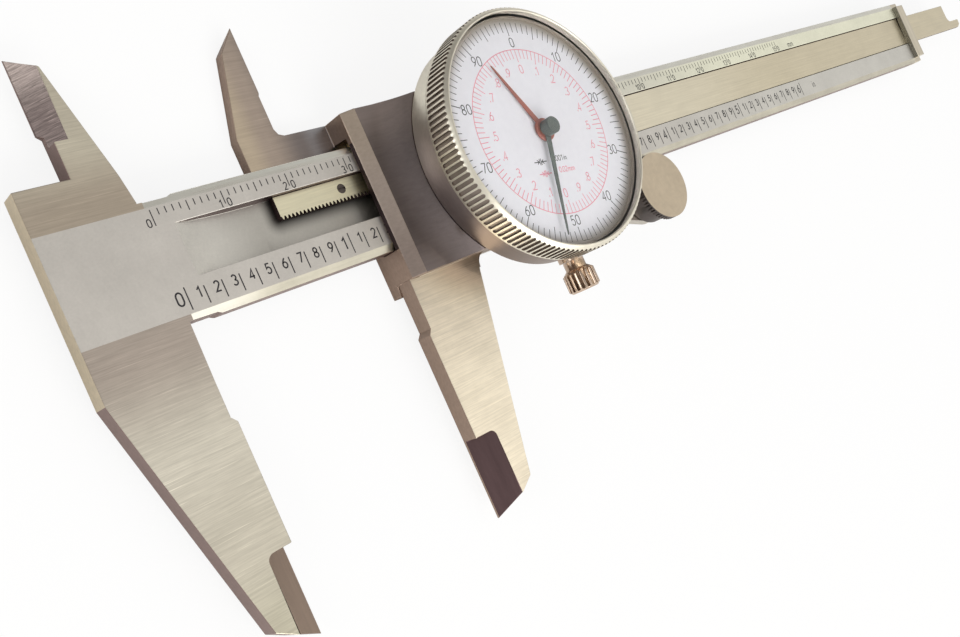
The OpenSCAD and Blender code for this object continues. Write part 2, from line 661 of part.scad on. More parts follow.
module movement_plate() color([0.8, 0.66, 0.38]) on_dial() difference() {
    rod(movement_plate_r, plate_z, plate_z + movement_plate_t);
    rod(tube_r + bearing_gap, plate_z - 1, plate_z + 2);
    for (p = pivot_ps) translate([p[0], p[1], 0]) rod(pivot_r + bearing_gap, plate_z - 1, plate_z + 2);
    for (a = pillar_angles) rotate(a) translate([pillar_ring, 0, 0]) rod(screw_r, plate_z - 1, plate_z + 2);
    for (a = [60, 120, 270]) rotate(a) translate([7.6, 0, 0]) rod(2.6, plate_z - 1, plate_z + 2);
}
pivot_r = 0.4;
pivot_ps = [[pinion_x - dial_x, pinion_y],
    [gear_centres * cos(take_up_angle), gear_centres * sin(take_up_angle)]];
module movement_pillars() color([0.8, 0.66, 0.38]) on_dial()
    for (a = pillar_angles) rotate(a) translate([pillar_ring, 0, 0]) difference() {
        rod(pillar_r, case_floor, plate_z);
        rod(screw_r, plate_z - screw_l - 0.1, plate_z + 1);
    }
module movement_screws() color([0.5, 0.48, 0.45]) on_dial()
    for (a = pillar_angles) rotate(a) translate([pillar_ring, 0, 0]) difference() {
        union() {
            rod(screw_r - fit_gap, plate_z - screw_l, plate_z + movement_plate_t);
            rod(1.6 * screw_r, plate_z + movement_plate_t, plate_z + movement_plate_t + 0.5);
        }
        screw_slot(plate_z + movement_plate_t + 0.5);
    }
module hairspring_stud() color([0.78, 0.6, 0.28]) on_take_up()
    translate([spring_r1 + spring_w, 0, 0]) difference() {
        rod(stud_r, spring_z - 0.2, plate_z);
        translate([-2 * stud_r, -2 * stud_r, spring_z - 0.03])
            cube([2 * stud_r - spring_w + 0.05, 2 * stud_r + 0.04, spring_t + 0.06]);
    }
stud_r = 0.45;
spring_z = inch_gear_z + gear_t + 0.45;
spring_r0 = 1.4;
spring_r1 = 4.6;
spring_turns = 6;
spring_w = 0.11;
spring_t = 0.4;

module bezel_spring() color([0.75, 0.74, 0.72]) on_dial() translate([0, 0, wire_z])
    rotate_extrude() translate([spigot_r - 0.05, 0]) circle(r = 0.2, $fn = 24);
module bezel_lock_collar() color([0.72, 0.55, 0.3]) on_dial() difference() {
    translate([0, 0, lock_z]) rotate([90, 0, 0])
        ring(collar_r, lock_shank_r + bearing_gap, case_r - 0.5, case_r + 0.75);
    rod(case_r, case_z, case_top);
}
module roller_clip() color([0.4, 0.4, 0.4]) on_roller()
    ring(clip_r, spindle_r - 0.35, back_z + 0.15, back_z + 0.15 + clip_t);

// Arbor with the pinion that the rack turns
module pinion_arbor() color([0.74, 0.7, 0.6]) on_pinion() union() {
    rotate(pinion_phase) gear(rack_pinion_n, rack_m, pinion_z, pinion_top, shaft_r - 0.1);
    rod(shaft_r, pinion_z, plate_z - 0.1);
    rod(pivot_r, plate_z - 0.2, plate_z + movement_plate_t);
    rod(1.5, inch_gear_z - 0.15, inch_gear_z);
    rod(1.2, inch_gear_z + gear_t, mm_gear_z);
}
module wheel(n, m, z0, phase, bore) rotate(phase) difference() {
    gear(n, m, z0, z0 + gear_t, bore);
    for (a = [0 : 60 : 300]) rotate(a) translate([m * n / 2 * 0.6, 0, 0])
        rod(m * n / 2 * 0.2, z0 - 1, z0 + gear_t + 1);
}
module inch_gear() color([0.82, 0.68, 0.36]) on_pinion()
    wheel(inch_gear_n, inch_m, inch_gear_z, 0, shaft_r);
module mm_gear() color([0.82, 0.68, 0.36]) on_pinion()
    wheel(mm_gear_n, mm_m, mm_gear_z, 0, shaft_r);

module inch_arbor() color([0.74, 0.7, 0.6]) on_dial() union() {
    rod(arbor_r, case_z + 0.1, hub_top - 0.3);
    rotate(inch_phase) gear(pointer_pinion_n, inch_m, inch_gear_z - 0.15, mm_gear_z - 0.75, arbor_r - 0.1);
    rod(0.8, case_floor + 0.1, inch_gear_z - 0.15 + eps);
    rod(0.75, mm_gear_z - 0.75 - eps, mm_gear_z - 0.4);
}
module inch_pointer() color([0.2, 0.23, 0.2]) on_dial() union() {
    ring(1.25, arbor_r, hub_low, hub_top - 0.3);
    rod(1.25, hub_top - 0.3, hub_top);
    layer(hub_low, hub_low + pointer_t) rotate(inch_angle) difference() {
        polygon([[0, -0.55], [inch_pointer_l - 0.6, -0.14], [inch_pointer_l, 0],
            [inch_pointer_l - 0.6, 0.14], [0, 0.55]]);
        circle(r = 1.2);
    }
}
module mm_tube() color([0.74, 0.7, 0.6]) on_dial() union() {
    ring(tube_r, arbor_r + bearing_gap, mm_gear_z - 0.35, mm_hub_top - 0.3);
    rotate(mm_phase)
        gear(pointer_pinion_n, mm_m, mm_gear_z - 0.25, mm_gear_z + gear_t + 0.35, tube_r - 0.1);
}
module mm_pointer() color([0.72, 0.25, 0.18]) on_dial() union() {
    ring(mm_hub_r, tube_r, mm_hub_top - 0.45, mm_hub_top - 0.3);
    ring(mm_hub_r, arbor_r + bearing_gap, mm_hub_top - 0.3, mm_hub_top);
    layer(mm_hub_top - 0.35, mm_hub_top - 0.35 + pointer_t) rotate(mm_angle) difference() {
        polygon([[0, -0.55], [mm_pointer_l - 0.6, -0.14], [mm_pointer_l, 0],
            [mm_pointer_l - 0.6, 0.14], [0, 0.55]]);
        circle(r = 1.4);
    }
}
module take_up_gear() color([0.82, 0.68, 0.36]) on_take_up() union() {
    wheel(inch_gear_n, inch_m, inch_gear_z, take_up_phase - take_up_angle, shaft_r - 0.1);
    rod(shaft_r, case_floor + 0.05, plate_z - 0.1);
    rod(1.1, spring_z - 0.3, spring_z + 0.6);
    rod(pivot_r, plate_z - 0.2, plate_z + movement_plate_t);
}
module hairspring() color([0.35, 0.42, 0.6]) on_take_up()
    layer(spring_z, spring_z + spring_t) polygon(concat(
        [for (i = [0 : 24 * spring_turns]) let (t = i / (24 * spring_turns),
            r = spring_r0 + (spring_r1 - spring_r0) * t, a = 360 * spring_turns * t)
            r * [cos(a), sin(a)]],
        [for (i = [24 * spring_turns : -1 : 0]) let (t = i / (24 * spring_turns),
            r = spring_r0 + (spring_r1 - spring_r0) * t - spring_w, a = 360 * spring_turns * t)
            r * [cos(a), sin(a)]]));

module bezel() color([0.78, 0.75, 0.66]) on_dial() difference() {
    rotate_extrude($fn = 180) polygon([
        [bezel_bore, bezel_z], [bezel_r - 0.3, bezel_z], [bezel_r, bezel_z + 0.3],
        [bezel_r, bezel_top - 0.75], [bezel_r - 0.45, bezel_top], [lip_r + 0.2, bezel_top],
        [lip_r, bezel_top - 0.15], [lip_r, bezel_top - lip_t], [rim_bore, bezel_top - lip_t],
        [rim_bore, ledge_z], [bezel_bore, ledge_z]]);
    translate([0, 0, wire_z]) rotate_extrude() translate([bezel_bore - 1, -0.3])
        square([1 + 0.25, 0.6]);
    knurl_cutter(bezel_slots, bezel_r, slot_t, bezel_z + 0.55, bezel_top - 0.95);
}
module dial_plate() color([0.93, 0.93, 0.95]) on_dial()
    ring(rim_bore - fit_gap, mm_hub_r - 0.35, dial_z - dial_t, dial_z);
module spacer_ring() color([0.85, 0.84, 0.8]) on_dial()
    ring(rim_bore - fit_gap, rim_bore - 0.45, dial_z, crystal_z);
// Clear dome, seated between the spacer ring and the bezel's lip
module crystal() color([0.85, 0.9, 0.92, 0.3]) on_dial() intersection() {
    rotate_extrude($fn = 180) union() {
        intersection() {
            translate([0, crystal_z]) square([rim_bore - fit_gap, crystal_t]);
            translate([rim_bore - 4 * bezel_lip, crystal_z]) square([6 * bezel_lip, crystal_t]);
        }
        difference() {
            intersection() {
                translate([0, dome_top - crystal_dome_r]) circle(r = crystal_dome_r, $fn = 1440);
                translate([0, crystal_z]) square([lip_r - fit_gap, dome_top - crystal_z]);
            }
            translate([0, dome_top - crystal_dome_r - crystal_t])
                circle(r = crystal_dome_r, $fn = 1440);
        }
    }
    rod(rim_bore, crystal_z, dome_top + 1);
}
dome_edge = bezel_top - lip_t + 0.35;
dome_top = dome_edge + crystal_dome_r - sqrt(crystal_dome_r * crystal_dome_r - lip_r * lip_r);

module thumb_roller() color([0.45, 0.41, 0.38]) on_roller() union() {
    difference() {
        rod(roller_r, roller_top - roller_t, roller_top);
        knurl_cutter(60, roller_r, 0.25, roller_top - roller_t - 1, roller_top - 0.25);
    }
    rod(drum_r, beam_back + 0.1, roller_top - roller_t + eps);
    rod(spindle_r, back_z + 0.6, beam_back + 0.1 + eps);
    rod(spindle_r - 0.35, back_z + 0.1, back_z + 0.6 + eps);
}

module bezel_lock_screw() color([0.72, 0.55, 0.3]) on_bezel_lock() union() {
    rod(lock_shank_r, case_in_r - 1.2, case_r + 0.85);
    rod(neck_r, case_r + 0.8, case_r + 2.2);
    difference() {
        translate([0, 0, case_r + 2.1]) rotate_extrude() polygon([
            [0, 0], [neck_r, 0], [lock_head_r, 0.7], [lock_head_r, lock_head_l - 0.4],
            [lock_head_r - 0.4, lock_head_l], [0, lock_head_l]]);
        knurl_cutter(18, lock_head_r, 0.3, case_r + 2.5, case_r + 2.1 + lock_head_l - 0.3);
    }
}
module slide_lock_screw() color([0.5, 0.48, 0.45]) on_slide_lock() union() {
    rod(screw_r, channel_top - slide_gap + 0.02, shoulder_y + 0.7);
    rod(1.6, shoulder_y + 0.3, shoulder_y + 1.5);
    difference() {
        translate([0, 0, shoulder_y + 1.4]) rotate_extrude() polygon([
            [0, 0], [1.6, 0], [slide_head_r, 0.5], [slide_head_r, slide_head_l - 0.3],
            [slide_head_r - 0.3, slide_head_l], [0, slide_head_l]]);
        knurl_cutter(20, slide_head_r, 0.2, shoulder_y + 2.1, shoulder_y + 1 + slide_head_l);
    }
}
slide_head_r = 2.2;
slide_head_l = 3.3;

beam();
rack();
rack_screws();
end_stop();
end_stop_screws();
slider_body();
gib();
gib_screws();
back_plate();
back_plate_screws();
depth_bar();
depth_bar_screws();
dial_case();
case_screws();
pinion_bush();
centre_bush();
movement_plate();
movement_pillars();
movement_screws();
hairspring_stud();
bezel_spring();
bezel_lock_collar();
roller_clip();
pinion_arbor();
inch_gear();
mm_gear();
inch_arbor();
inch_pointer();
mm_tube();
mm_pointer();
take_up_gear();
hairspring();
bezel();
dial_plate();
spacer_ring();
crystal();
thumb_roller();
bezel_lock_screw();
slide_lock_screw();
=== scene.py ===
import math

import bmesh
import bpy
from mathutils import Matrix, Vector


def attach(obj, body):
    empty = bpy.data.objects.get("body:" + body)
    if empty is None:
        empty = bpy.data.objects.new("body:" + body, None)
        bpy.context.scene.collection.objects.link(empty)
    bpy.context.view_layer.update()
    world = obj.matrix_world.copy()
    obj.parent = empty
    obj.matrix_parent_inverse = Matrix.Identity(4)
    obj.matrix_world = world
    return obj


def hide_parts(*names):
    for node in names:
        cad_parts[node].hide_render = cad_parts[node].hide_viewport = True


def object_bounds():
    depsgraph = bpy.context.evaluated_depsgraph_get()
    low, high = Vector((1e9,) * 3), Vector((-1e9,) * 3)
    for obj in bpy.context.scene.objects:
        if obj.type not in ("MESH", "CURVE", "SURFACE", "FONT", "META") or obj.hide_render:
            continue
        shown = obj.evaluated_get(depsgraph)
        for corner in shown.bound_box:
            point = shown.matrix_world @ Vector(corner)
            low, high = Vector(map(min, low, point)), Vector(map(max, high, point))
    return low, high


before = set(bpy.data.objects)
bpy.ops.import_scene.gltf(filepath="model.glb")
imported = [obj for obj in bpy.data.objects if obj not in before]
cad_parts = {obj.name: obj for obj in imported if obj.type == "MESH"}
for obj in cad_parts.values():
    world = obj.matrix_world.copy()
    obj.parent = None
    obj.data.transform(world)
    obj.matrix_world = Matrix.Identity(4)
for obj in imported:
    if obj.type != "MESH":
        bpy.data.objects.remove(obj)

cad_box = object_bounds()

# camera and studio
# The camera looks down past the jaws' left side along the beam, from about a hand's width.
# The caliper lies on a white table, and two soft boxes light it from the jaws' side.
scene = bpy.context.scene
scene.view_settings.view_transform = "Standard"
MM = 0.001
CAMERA_PLACE = Vector((-57.315, 7.054, 114.478)) * MM
CAMERA_RIGHT = Vector((0.69370757, -0.40910412, 0.59279307))
CAMERA_UP = Vector((0.29746494, 0.91229112, 0.28149515))
LENS = 38.69
LENS_SHIFT = (0.0133, -0.0216)

camera_data = bpy.data.cameras.new("camera")
camera = bpy.data.objects.new("camera", camera_data)
scene.collection.objects.link(camera)
scene.camera = camera
turned_axes = Matrix((CAMERA_RIGHT, CAMERA_UP, CAMERA_RIGHT.cross(CAMERA_UP))).transposed()
camera.matrix_world = Matrix.Translation(CAMERA_PLACE) @ turned_axes.to_4x4()
camera_data.sensor_width = 36
camera_data.lens = LENS
camera_data.shift_x, camera_data.shift_y = LENS_SHIFT
camera_data.clip_start = 5 * MM


def shader(name):
    """A new material's node tree and its main shader."""
    material = bpy.data.materials.new(name)
    material.use_nodes = True
    tree = material.node_tree
    return material, tree, tree.nodes["Principled BSDF"]


def link(tree, source, out, target, socket):
    """Joins a node's output to another node's input."""
    tree.links.new(source.outputs[out], target.inputs[socket])


def lamp(name, place, aim, size, watts, tint=(1, 1, 1)):
    """A soft box at a place, turned towards its aim. Places and sizes are in metres."""
    light = bpy.data.lights.new(name, "AREA")
    light.shape = "RECTANGLE"
    light.size, light.size_y = size
    light.energy = watts
    light.color = tint
    holder = bpy.data.objects.new(name, light)
    facing = (Vector(aim) - Vector(place)).to_track_quat("-Z", "Y")
    holder.matrix_world = Matrix.Translation(Vector(place)) @ facing.to_matrix().to_4x4()
    scene.collection.objects.link(holder)


lamp("softbox_front", (-0.05, -0.75, 0.55), (0.06, 0.0, 0.0), (0.8, 0.4), 5.0, (1.0, 0.98, 0.95))
lamp("softbox_left", (-0.75, 0.25, 0.35), (0.02, 0.0, 0.0), (0.5, 0.4), 2.0)

TABLE_HALF = 3.0
TABLE_GAP = 0.02 * MM
TABLE_GLOW = 0.86
table_mesh = bpy.data.meshes.new("table")
bm = bmesh.new()
bmesh.ops.create_grid(bm, x_segments=1, y_segments=1, size=TABLE_HALF)
bmesh.ops.translate(bm, verts=bm.verts, vec=(0, 0, cad_box[0][2] - TABLE_GAP))
bm.to_mesh(table_mesh)
bm.free()
table = bpy.data.objects.new("table", table_mesh)
scene.collection.objects.link(table)
material, tree, gloss = shader("white_table")
gloss.inputs["Base Color"].default_value = (0.9, 0.9, 0.9, 1)
gloss.inputs["Roughness"].default_value = 0.9
glow = tree.nodes.new("ShaderNodeEmission")
ray = tree.nodes.new("ShaderNodeLightPath")
share = tree.nodes.new("ShaderNodeMath")
share.operation = "MULTIPLY"
share.inputs[1].default_value = TABLE_GLOW
mixed = tree.nodes.new("ShaderNodeMixShader")
link(tree, ray, "Is Camera Ray", share, 0)
link(tree, share, 0, mixed, 0)
link(tree, gloss, 0, mixed, 1)
link(tree, glow, 0, mixed, 2)
link(tree, mixed, 0, tree.nodes["Material Output"], "Surface")
table.data.materials.append(material)

BRIGHT_SIDE = (0.45, -0.55, 0.70)
SKY_TONES = ((0.375, 0.55), (0.68, 0.80), (0.82, 0.95))
world = bpy.data.worlds.new("studio")
scene.world = world
world.use_nodes = True
tree = world.node_tree
sky = tree.nodes["Background"]
seen = tree.nodes.new("ShaderNodeBackground")
seen.inputs["Color"].default_value = (1, 1, 1, 1)
ray = tree.nodes.new("ShaderNodeLightPath")
mixed = tree.nodes.new("ShaderNodeMixShader")
place = tree.nodes.new("ShaderNodeTexCoord")
toward = tree.nodes.new("ShaderNodeVectorMath")
toward.operation = "DOT_PRODUCT"
toward.inputs[1].default_value = BRIGHT_SIDE
ramp = tree.nodes.new("ShaderNodeValToRGB")
ramp.color_ramp.elements[0].position = 0.0
ramp.color_ramp.elements[0].color = (0.28, 0.27, 0.26, 1)
ramp.color_ramp.elements[1].position = 1.0
ramp.color_ramp.elements[1].color = (1.3, 1.28, 1.23, 1)
for spot, light in SKY_TONES:
    ramp.color_ramp.elements.new(spot).color = (light, light * 0.985, light * 0.96, 1)
link(tree, place, "Generated", toward, 0)
link(tree, toward, "Value", ramp, 0)
link(tree, ramp, 0, sky, "Color")
link(tree, ray, "Is Camera Ray", mixed, 0)
link(tree, sky, 0, mixed, 1)
link(tree, seen, 0, mixed, 2)
link(tree, mixed, 0, tree.nodes["World Output"], "Surface")

# beam with the fixed jaws
# One bar of hardened stainless steel with the left jaws ground on it and a groove milled along it.
# Its scale face is satin, its edges are bright bevels, and the jaws keep their grinding marks.
AXIS_Y = 28.0
FACE_Z = 1.5
COLOUR_A, COLOUR_B, COLOUR_OUT = 6, 7, 2


def steel(name, colour, grain, rough, depth, spread=0.12, cloud=0.0, scratch=0.0, along=None):
    """Ground steel. Grain gives its marks per metre along x, y and z, and depth their height in mm.
    The colour changes along an axis as painted light and shade: along names the axis, and lists places in mm
    with their colours."""
    material, tree, gloss = shader(name)
    gloss.inputs["Metallic"].default_value = 1.0
    place = tree.nodes.new("ShaderNodeTexCoord")

    def marks(scale, detail):
        """Noise stretched over the piece."""
        stretch = tree.nodes.new("ShaderNodeMapping")
        stretch.inputs["Scale"].default_value = scale
        noise = tree.nodes.new("ShaderNodeTexNoise")
        noise.inputs["Scale"].default_value = 1.0
        noise.inputs["Detail"].default_value = detail
        noise.inputs["Roughness"].default_value = 0.65
        link(tree, place, "Object", stretch, "Vector")
        link(tree, stretch, 0, noise, "Vector")
        return noise

    def spread_out(source, low, high, to_low, to_high):
        """Brings a value's range to another one."""
        reach = tree.nodes.new("ShaderNodeMapRange")
        limits = zip(("From Min", "From Max", "To Min", "To Max"), (low, high, to_low, to_high))
        for socket, value in limits:
            reach.inputs[socket].default_value = value
        tree.links.new(source, reach.inputs["Value"])
        return reach.outputs[0]

    def scaled(shade, amount):
        """Makes a colour lighter or darker."""
        worn = tree.nodes.new("ShaderNodeVectorMath")
        worn.operation = "SCALE"
        tree.links.new(shade, worn.inputs[0])
        tree.links.new(amount, worn.inputs["Scale"])
        return worn.outputs[0]

    fine = marks(grain, 4.0)
    tones = tree.nodes.new("ShaderNodeValToRGB")
    tones.color_ramp.elements[0].position = 0.3
    tones.color_ramp.elements[1].position = 0.7
    tones.color_ramp.elements[0].color = [c * (1 - spread) for c in colour] + [1]
    tones.color_ramp.elements[1].color = [min(1, c * (1 + spread)) for c in colour] + [1]
    link(tree, fine, 0, tones, 0)
    shade = tones.outputs[0]
    if along:
        axis, stops = along
        start, end = stops[0][0], stops[-1][0]
        split = tree.nodes.new("ShaderNodeSeparateXYZ")
        link(tree, place, "Object", split, 0)
        ramp = tree.nodes.new("ShaderNodeValToRGB")
        ramp.color_ramp.interpolation = "EASE"
        tints = [[b / a for a, b in zip(colour, tone)] + [1] for spot, tone in stops]
        ramp.color_ramp.elements[0].color = tints[0]
        ramp.color_ramp.elements[1].color = tints[-1]
        for (spot, tone), tint in list(zip(stops, tints))[1:-1]:
            ramp.color_ramp.elements.new((spot - start) / (end - start)).color = tint
        tree.links.new(spread_out(split.outputs[axis], start * MM, end * MM, 0, 1), ramp.inputs[0])
        other = tree.nodes.new("ShaderNodeMix")
        other.data_type = "RGBA"
        other.blend_type = "MULTIPLY"
        other.inputs["Factor"].default_value = 1.0
        tree.links.new(shade, other.inputs[COLOUR_A])
        tree.links.new(ramp.outputs[0], other.inputs[COLOUR_B])
        shade = other.outputs[COLOUR_OUT]
    if cloud:
        patches = marks((160, 160, 160), 6.0)
        shade = scaled(shade, spread_out(patches.outputs[0], 0.3, 0.7, 1 - cloud, 1 + cloud))
    if scratch:
        lines = marks((grain[0] * 0.8, grain[1] * 1.3, grain[2]), 1.0)
        shade = scaled(shade, spread_out(lines.outputs[0], 0.66, 0.74, 1.0, 1 + scratch))
    tree.links.new(shade, gloss.inputs["Base Color"])
    dullness = spread_out(fine.outputs[0], 0, 1, rough - 0.06, rough + 0.08)
    tree.links.new(dullness, gloss.inputs["Roughness"])
    relief = tree.nodes.new("ShaderNodeBump")
    relief.inputs["Strength"].default_value = 1.0
    relief.inputs["Distance"].default_value = depth * MM
    link(tree, fine, 0, relief, "Height")
    link(tree, relief, 0, gloss, "Normal")
    return material


def solid(node):
    """A mesh copy of a solid with its loose triangles joined into whole faces."""
    bm = bmesh.new()
    bm.from_mesh(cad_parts[node].data)
    bmesh.ops.remove_doubles(bm, verts=bm.verts, dist=0.000002)
    bmesh.ops.dissolve_limit(bm, angle_limit=math.radians(0.5), verts=bm.verts, edges=bm.edges,
                             use_dissolve_boundaries=False)
    return bm


def piece(bm, name, body, materials, nodes=(), edge=0.0, sharp=30):
    """Makes the mesh a piece of the caliper that rides on its body.
    Edges are eased by edge in mm where they are long enough. Faces that meet no neighbour at less
    than sharp degrees are shaded flat."""
    shortest = max(8 * edge, 2) * MM
    smallest = 1e-6
    plane = bm.faces.layers.int.new("plane")
    for face in bm.faces:
        turns = [e.calc_face_angle(0) for e in face.edges if e.is_manifold]
        face[plane] = not any(0.01 < turn < math.radians(sharp) for turn in turns)
    if edge:
        long_edges = [e for e in bm.edges if e.is_manifold and e.calc_length() > shortest
                      and e.calc_face_angle(0) > math.radians(25)
                      and min(f.calc_area() for f in e.link_faces) > smallest]
        bmesh.ops.bevel(bm, geom=long_edges, offset=edge * MM, segments=2, affect="EDGES", profile=0.5,
                        material=-1, clamp_overlap=False)
    bm.normal_update()
    flat = [bool(f[plane]) and f.calc_area() > 2 * smallest for f in bm.faces]
    bm.faces.layers.int.remove(plane)
    mesh = bpy.data.meshes.new(name)
    bm.to_mesh(mesh)
    bm.free()
    for material in materials:
        mesh.materials.append(material)
    mesh.set_sharp_from_angle(angle=math.radians(sharp))
    for face, is_flat in zip(mesh.polygons, flat):
        face.use_smooth = not is_flat
    obj = bpy.data.objects.new(name, mesh)
    scene.collection.objects.link(obj)
    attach(obj, body)
    if nodes:
        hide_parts(*nodes)
    return obj


# Painted light on the jaw and nib: the jaw is lightest across its middle and painted darker towards its tip
# and root, and the nib is painted darker at its root.
jaw_steel = steel("ground_jaw", (0.63, 0.59, 0.50), (150, 5200, 900), 0.32, 0.008, 0.13, 0.05, 0.25,
                  ("Y", [(AXIS_Y - 46, (0.50, 0.47, 0.37)), (AXIS_Y - 34, (0.58, 0.54, 0.45)),
                         (AXIS_Y - 22, (0.63, 0.59, 0.50)), (AXIS_Y - 9, (0.43, 0.37, 0.32))]))
nib_steel = steel("ground_nib", (0.61, 0.56, 0.45), (150, 5200, 900), 0.34, 0.008, 0.10, 0.05, 0.15,
                  ("Y", [(AXIS_Y + 9, (0.44, 0.375, 0.30)), (AXIS_Y + 17, (0.61, 0.56, 0.45))]))
# Painted light: the scale face and the upper rail are painted lighter towards the beam's far end.
scale_satin = steel("satin_scale", (0.61, 0.58, 0.54), (2600, 2600, 2600), 0.42, 0.003, 0.04, 0.06, 0.0,
                    ("X", [(60, (0.61, 0.58, 0.54)), (150, (0.66, 0.645, 0.60))]))
rail_satin = steel("satin_rail", (0.61, 0.58, 0.54), (2600, 2600, 2600), 0.42, 0.003, 0.04, 0.06, 0.0,
                   ("X", [(60, (0.61, 0.58, 0.54)), (135, (0.88, 0.88, 0.72))]))
# Painted shade: the groove floor is painted darker from the run-out towards the rack.
groove_satin = steel("satin_groove", (0.73, 0.71, 0.66), (2600, 2600, 2600), 0.44, 0.003, 0.04, 0.05, 0.0,
                     ("X", [(5, (0.73, 0.71, 0.66)), (16, (0.49, 0.47, 0.43))]))
# Painted light: the upper bevels are painted near white as highlights, and the lower ones darker as shade,
# lighter near the jaws.
edge_top = steel("painted_highlight_edge", (0.98, 0.95, 0.86), (60, 1500, 1500), 0.28, 0.004, 0.06, 0.06)
edge_low = steel("painted_shade_edge", (0.55, 0.52, 0.43), (60, 1500, 1500), 0.30, 0.004, 0.10, 0.10, 0.0,
                 ("X", [(2, (0.80, 0.78, 0.70)), (13, (0.55, 0.52, 0.43))]))
# Lit and shaded copies of the side steel: the jaw block's left face is painted light, and the other sides
# are painted shade.
lit_side = steel("painted_lit_side", (0.56, 0.48, 0.35), (60, 1500, 2600), 0.36, 0.008, 0.10)
shaded_side = steel("painted_shaded_side", (0.255, 0.18, 0.165), (60, 1500, 2600), 0.40, 0.008, 0.12)
# Painted shade: the fixed jaw's knife bevel is painted brown; the groove walls, the rack's and depth bar's
# sides and the moving knife bevel are painted near black.
knife_painted_shade = steel("knife_painted_shade", (0.29, 0.215, 0.165), (900, 120, 900), 0.40, 0.006, 0.10)
painted_dark_shade = steel("painted_dark_shade", (0.12, 0.078, 0.08), (900, 120, 900), 0.42, 0.004, 0.10)
# The nib's bevel keeps its cross-grinding lines; its dark brown tone, darker towards the beam, is painted
# shade.
cross_ground = steel("cross_ground", (0.15, 0.12, 0.115), (350, 6000, 350), 0.32, 0.010, 0.55, 0.0, 0.9,
                     ("Y", [(AXIS_Y + 21, (0.10, 0.08, 0.075)), (AXIS_Y + 28, (0.215, 0.18, 0.165))]))
BAND_HALF = 6.9
JAW_BEND = -13.4
NIB_BEND = 12.6
RUN_OUT_END = 17
RACK_BOX = ((18.2, AXIS_Y + 1.4, -3), (160, AXIS_Y + 4.2, 3))
SHADE_REACH = 2.6
TOUCH = 0.0000005


def cut_across(bm, y):
    """Splits every face along a line at y in mm from the beam's middle."""
    bmesh.ops.bisect_plane(bm, geom=bm.verts[:] + bm.edges[:] + bm.faces[:], dist=TOUCH,
                           plane_co=(0, (AXIS_Y + y) * MM, 0), plane_no=(0, 1, 0))


def cut_at(bm, x, faces):
    """Splits those faces along a line at x in mm."""
    edges = {e for f in faces for e in f.edges}
    bmesh.ops.bisect_plane(bm, geom=list({v for e in edges for v in e.verts}) + list(edges) + faces,
                           dist=TOUCH, plane_co=(x * MM, 0, 0), plane_no=(1, 0, 0))


def grime(material, low, high, reach, dark):
    """Darkens a finish round a box with those corners in mm: painted shade beside a seated part."""
    tree = material.node_tree
    gloss = tree.nodes["Principled BSDF"]
    clean = gloss.inputs["Base Color"].links[0].from_socket
    source = tree.nodes.new("ShaderNodeTexCoord").outputs["Object"]
    middle = [(a + b) / 2 * MM for a, b in zip(low, high)]
    half = [(b - a) / 2 * MM for a, b in zip(low, high)]
    for operation, value in (("SUBTRACT", middle), ("ABSOLUTE", None), ("SUBTRACT", half),
                             ("MAXIMUM", (0, 0, 0)), ("LENGTH", None)):
        step = tree.nodes.new("ShaderNodeVectorMath")
        step.operation = operation
        tree.links.new(source, step.inputs[0])
        if value is not None:
            step.inputs[1].default_value = value
        source = step.outputs["Value" if operation == "LENGTH" else "Vector"]
    fade = tree.nodes.new("ShaderNodeMapRange")
    fade.interpolation_type = "SMOOTHSTEP"
    for socket, value in zip(("From Min", "From Max", "To Min", "To Max"), (0, reach * MM, dark, 1)):
        fade.inputs[socket].default_value = value
    tree.links.new(source, fade.inputs["Value"])
    shaded = tree.nodes.new("ShaderNodeVectorMath")
    shaded.operation = "SCALE"
    tree.links.new(clean, shaded.inputs[0])
    link(tree, fade, 0, shaded, "Scale")
    link(tree, shaded, 0, gloss, "Base Color")


def beam_finish(face):
    """Says how a face of the beam is ground, and which painted light or shade it gets by the way it faces.
    """
    c, n = face.calc_center_median() / MM, face.normal
    y = c.y - AXIS_Y
    if n.z > 0.99 and c.z > FACE_Z - 0.1:
        if abs(y) > BAND_HALF:
            return jaw_steel if y < 0 else nib_steel
        return scale_satin if y < 0 else rail_satin
    if n.z > 0.9 and abs(n.y) < 0.1:
        return groove_satin
    if n.z > 0.8 and abs(n.y) > 0.2:
        return edge_top if y > 0 else edge_low
    if n.z > 0.3:
        return cross_ground if y > 0 else knife_painted_shade
    if n.x < -0.9 and JAW_BEND < y < NIB_BEND:
        return lit_side
    if abs(n.y) > 0.9 and abs(y) < 5:
        return painted_dark_shade
    return shaded_side if abs(n.z) < 0.2 else jaw_steel


def finish(bm, finishes, finish_of):
    """Gives each face its finish."""
    for face in bm.faces:
        face.material_index = finishes.index(finish_of(face))


# Painted shade on the groove floor round the rack, darkest at its sides.
grime(groove_satin, *RACK_BOX, SHADE_REACH, 0.07)
bm = solid("beam")
floor = [f for f in bm.faces if f.normal.z > 0.999 and -1.5 < f.calc_center_median().z / MM < 0]
cut_at(bm, RUN_OUT_END, floor)
for y in (BAND_HALF, 0, -BAND_HALF):
    cut_across(bm, y)
beam_finishes = [jaw_steel, nib_steel, scale_satin, edge_top, edge_low, lit_side, shaded_side, knife_painted_shade,
                 cross_ground, painted_dark_shade, groove_satin, rail_satin]
finish(bm, beam_finishes, beam_finish)
piece(bm, "beam_bar", "beam", beam_finishes, ["beam"], edge=0.1, sharp=12)

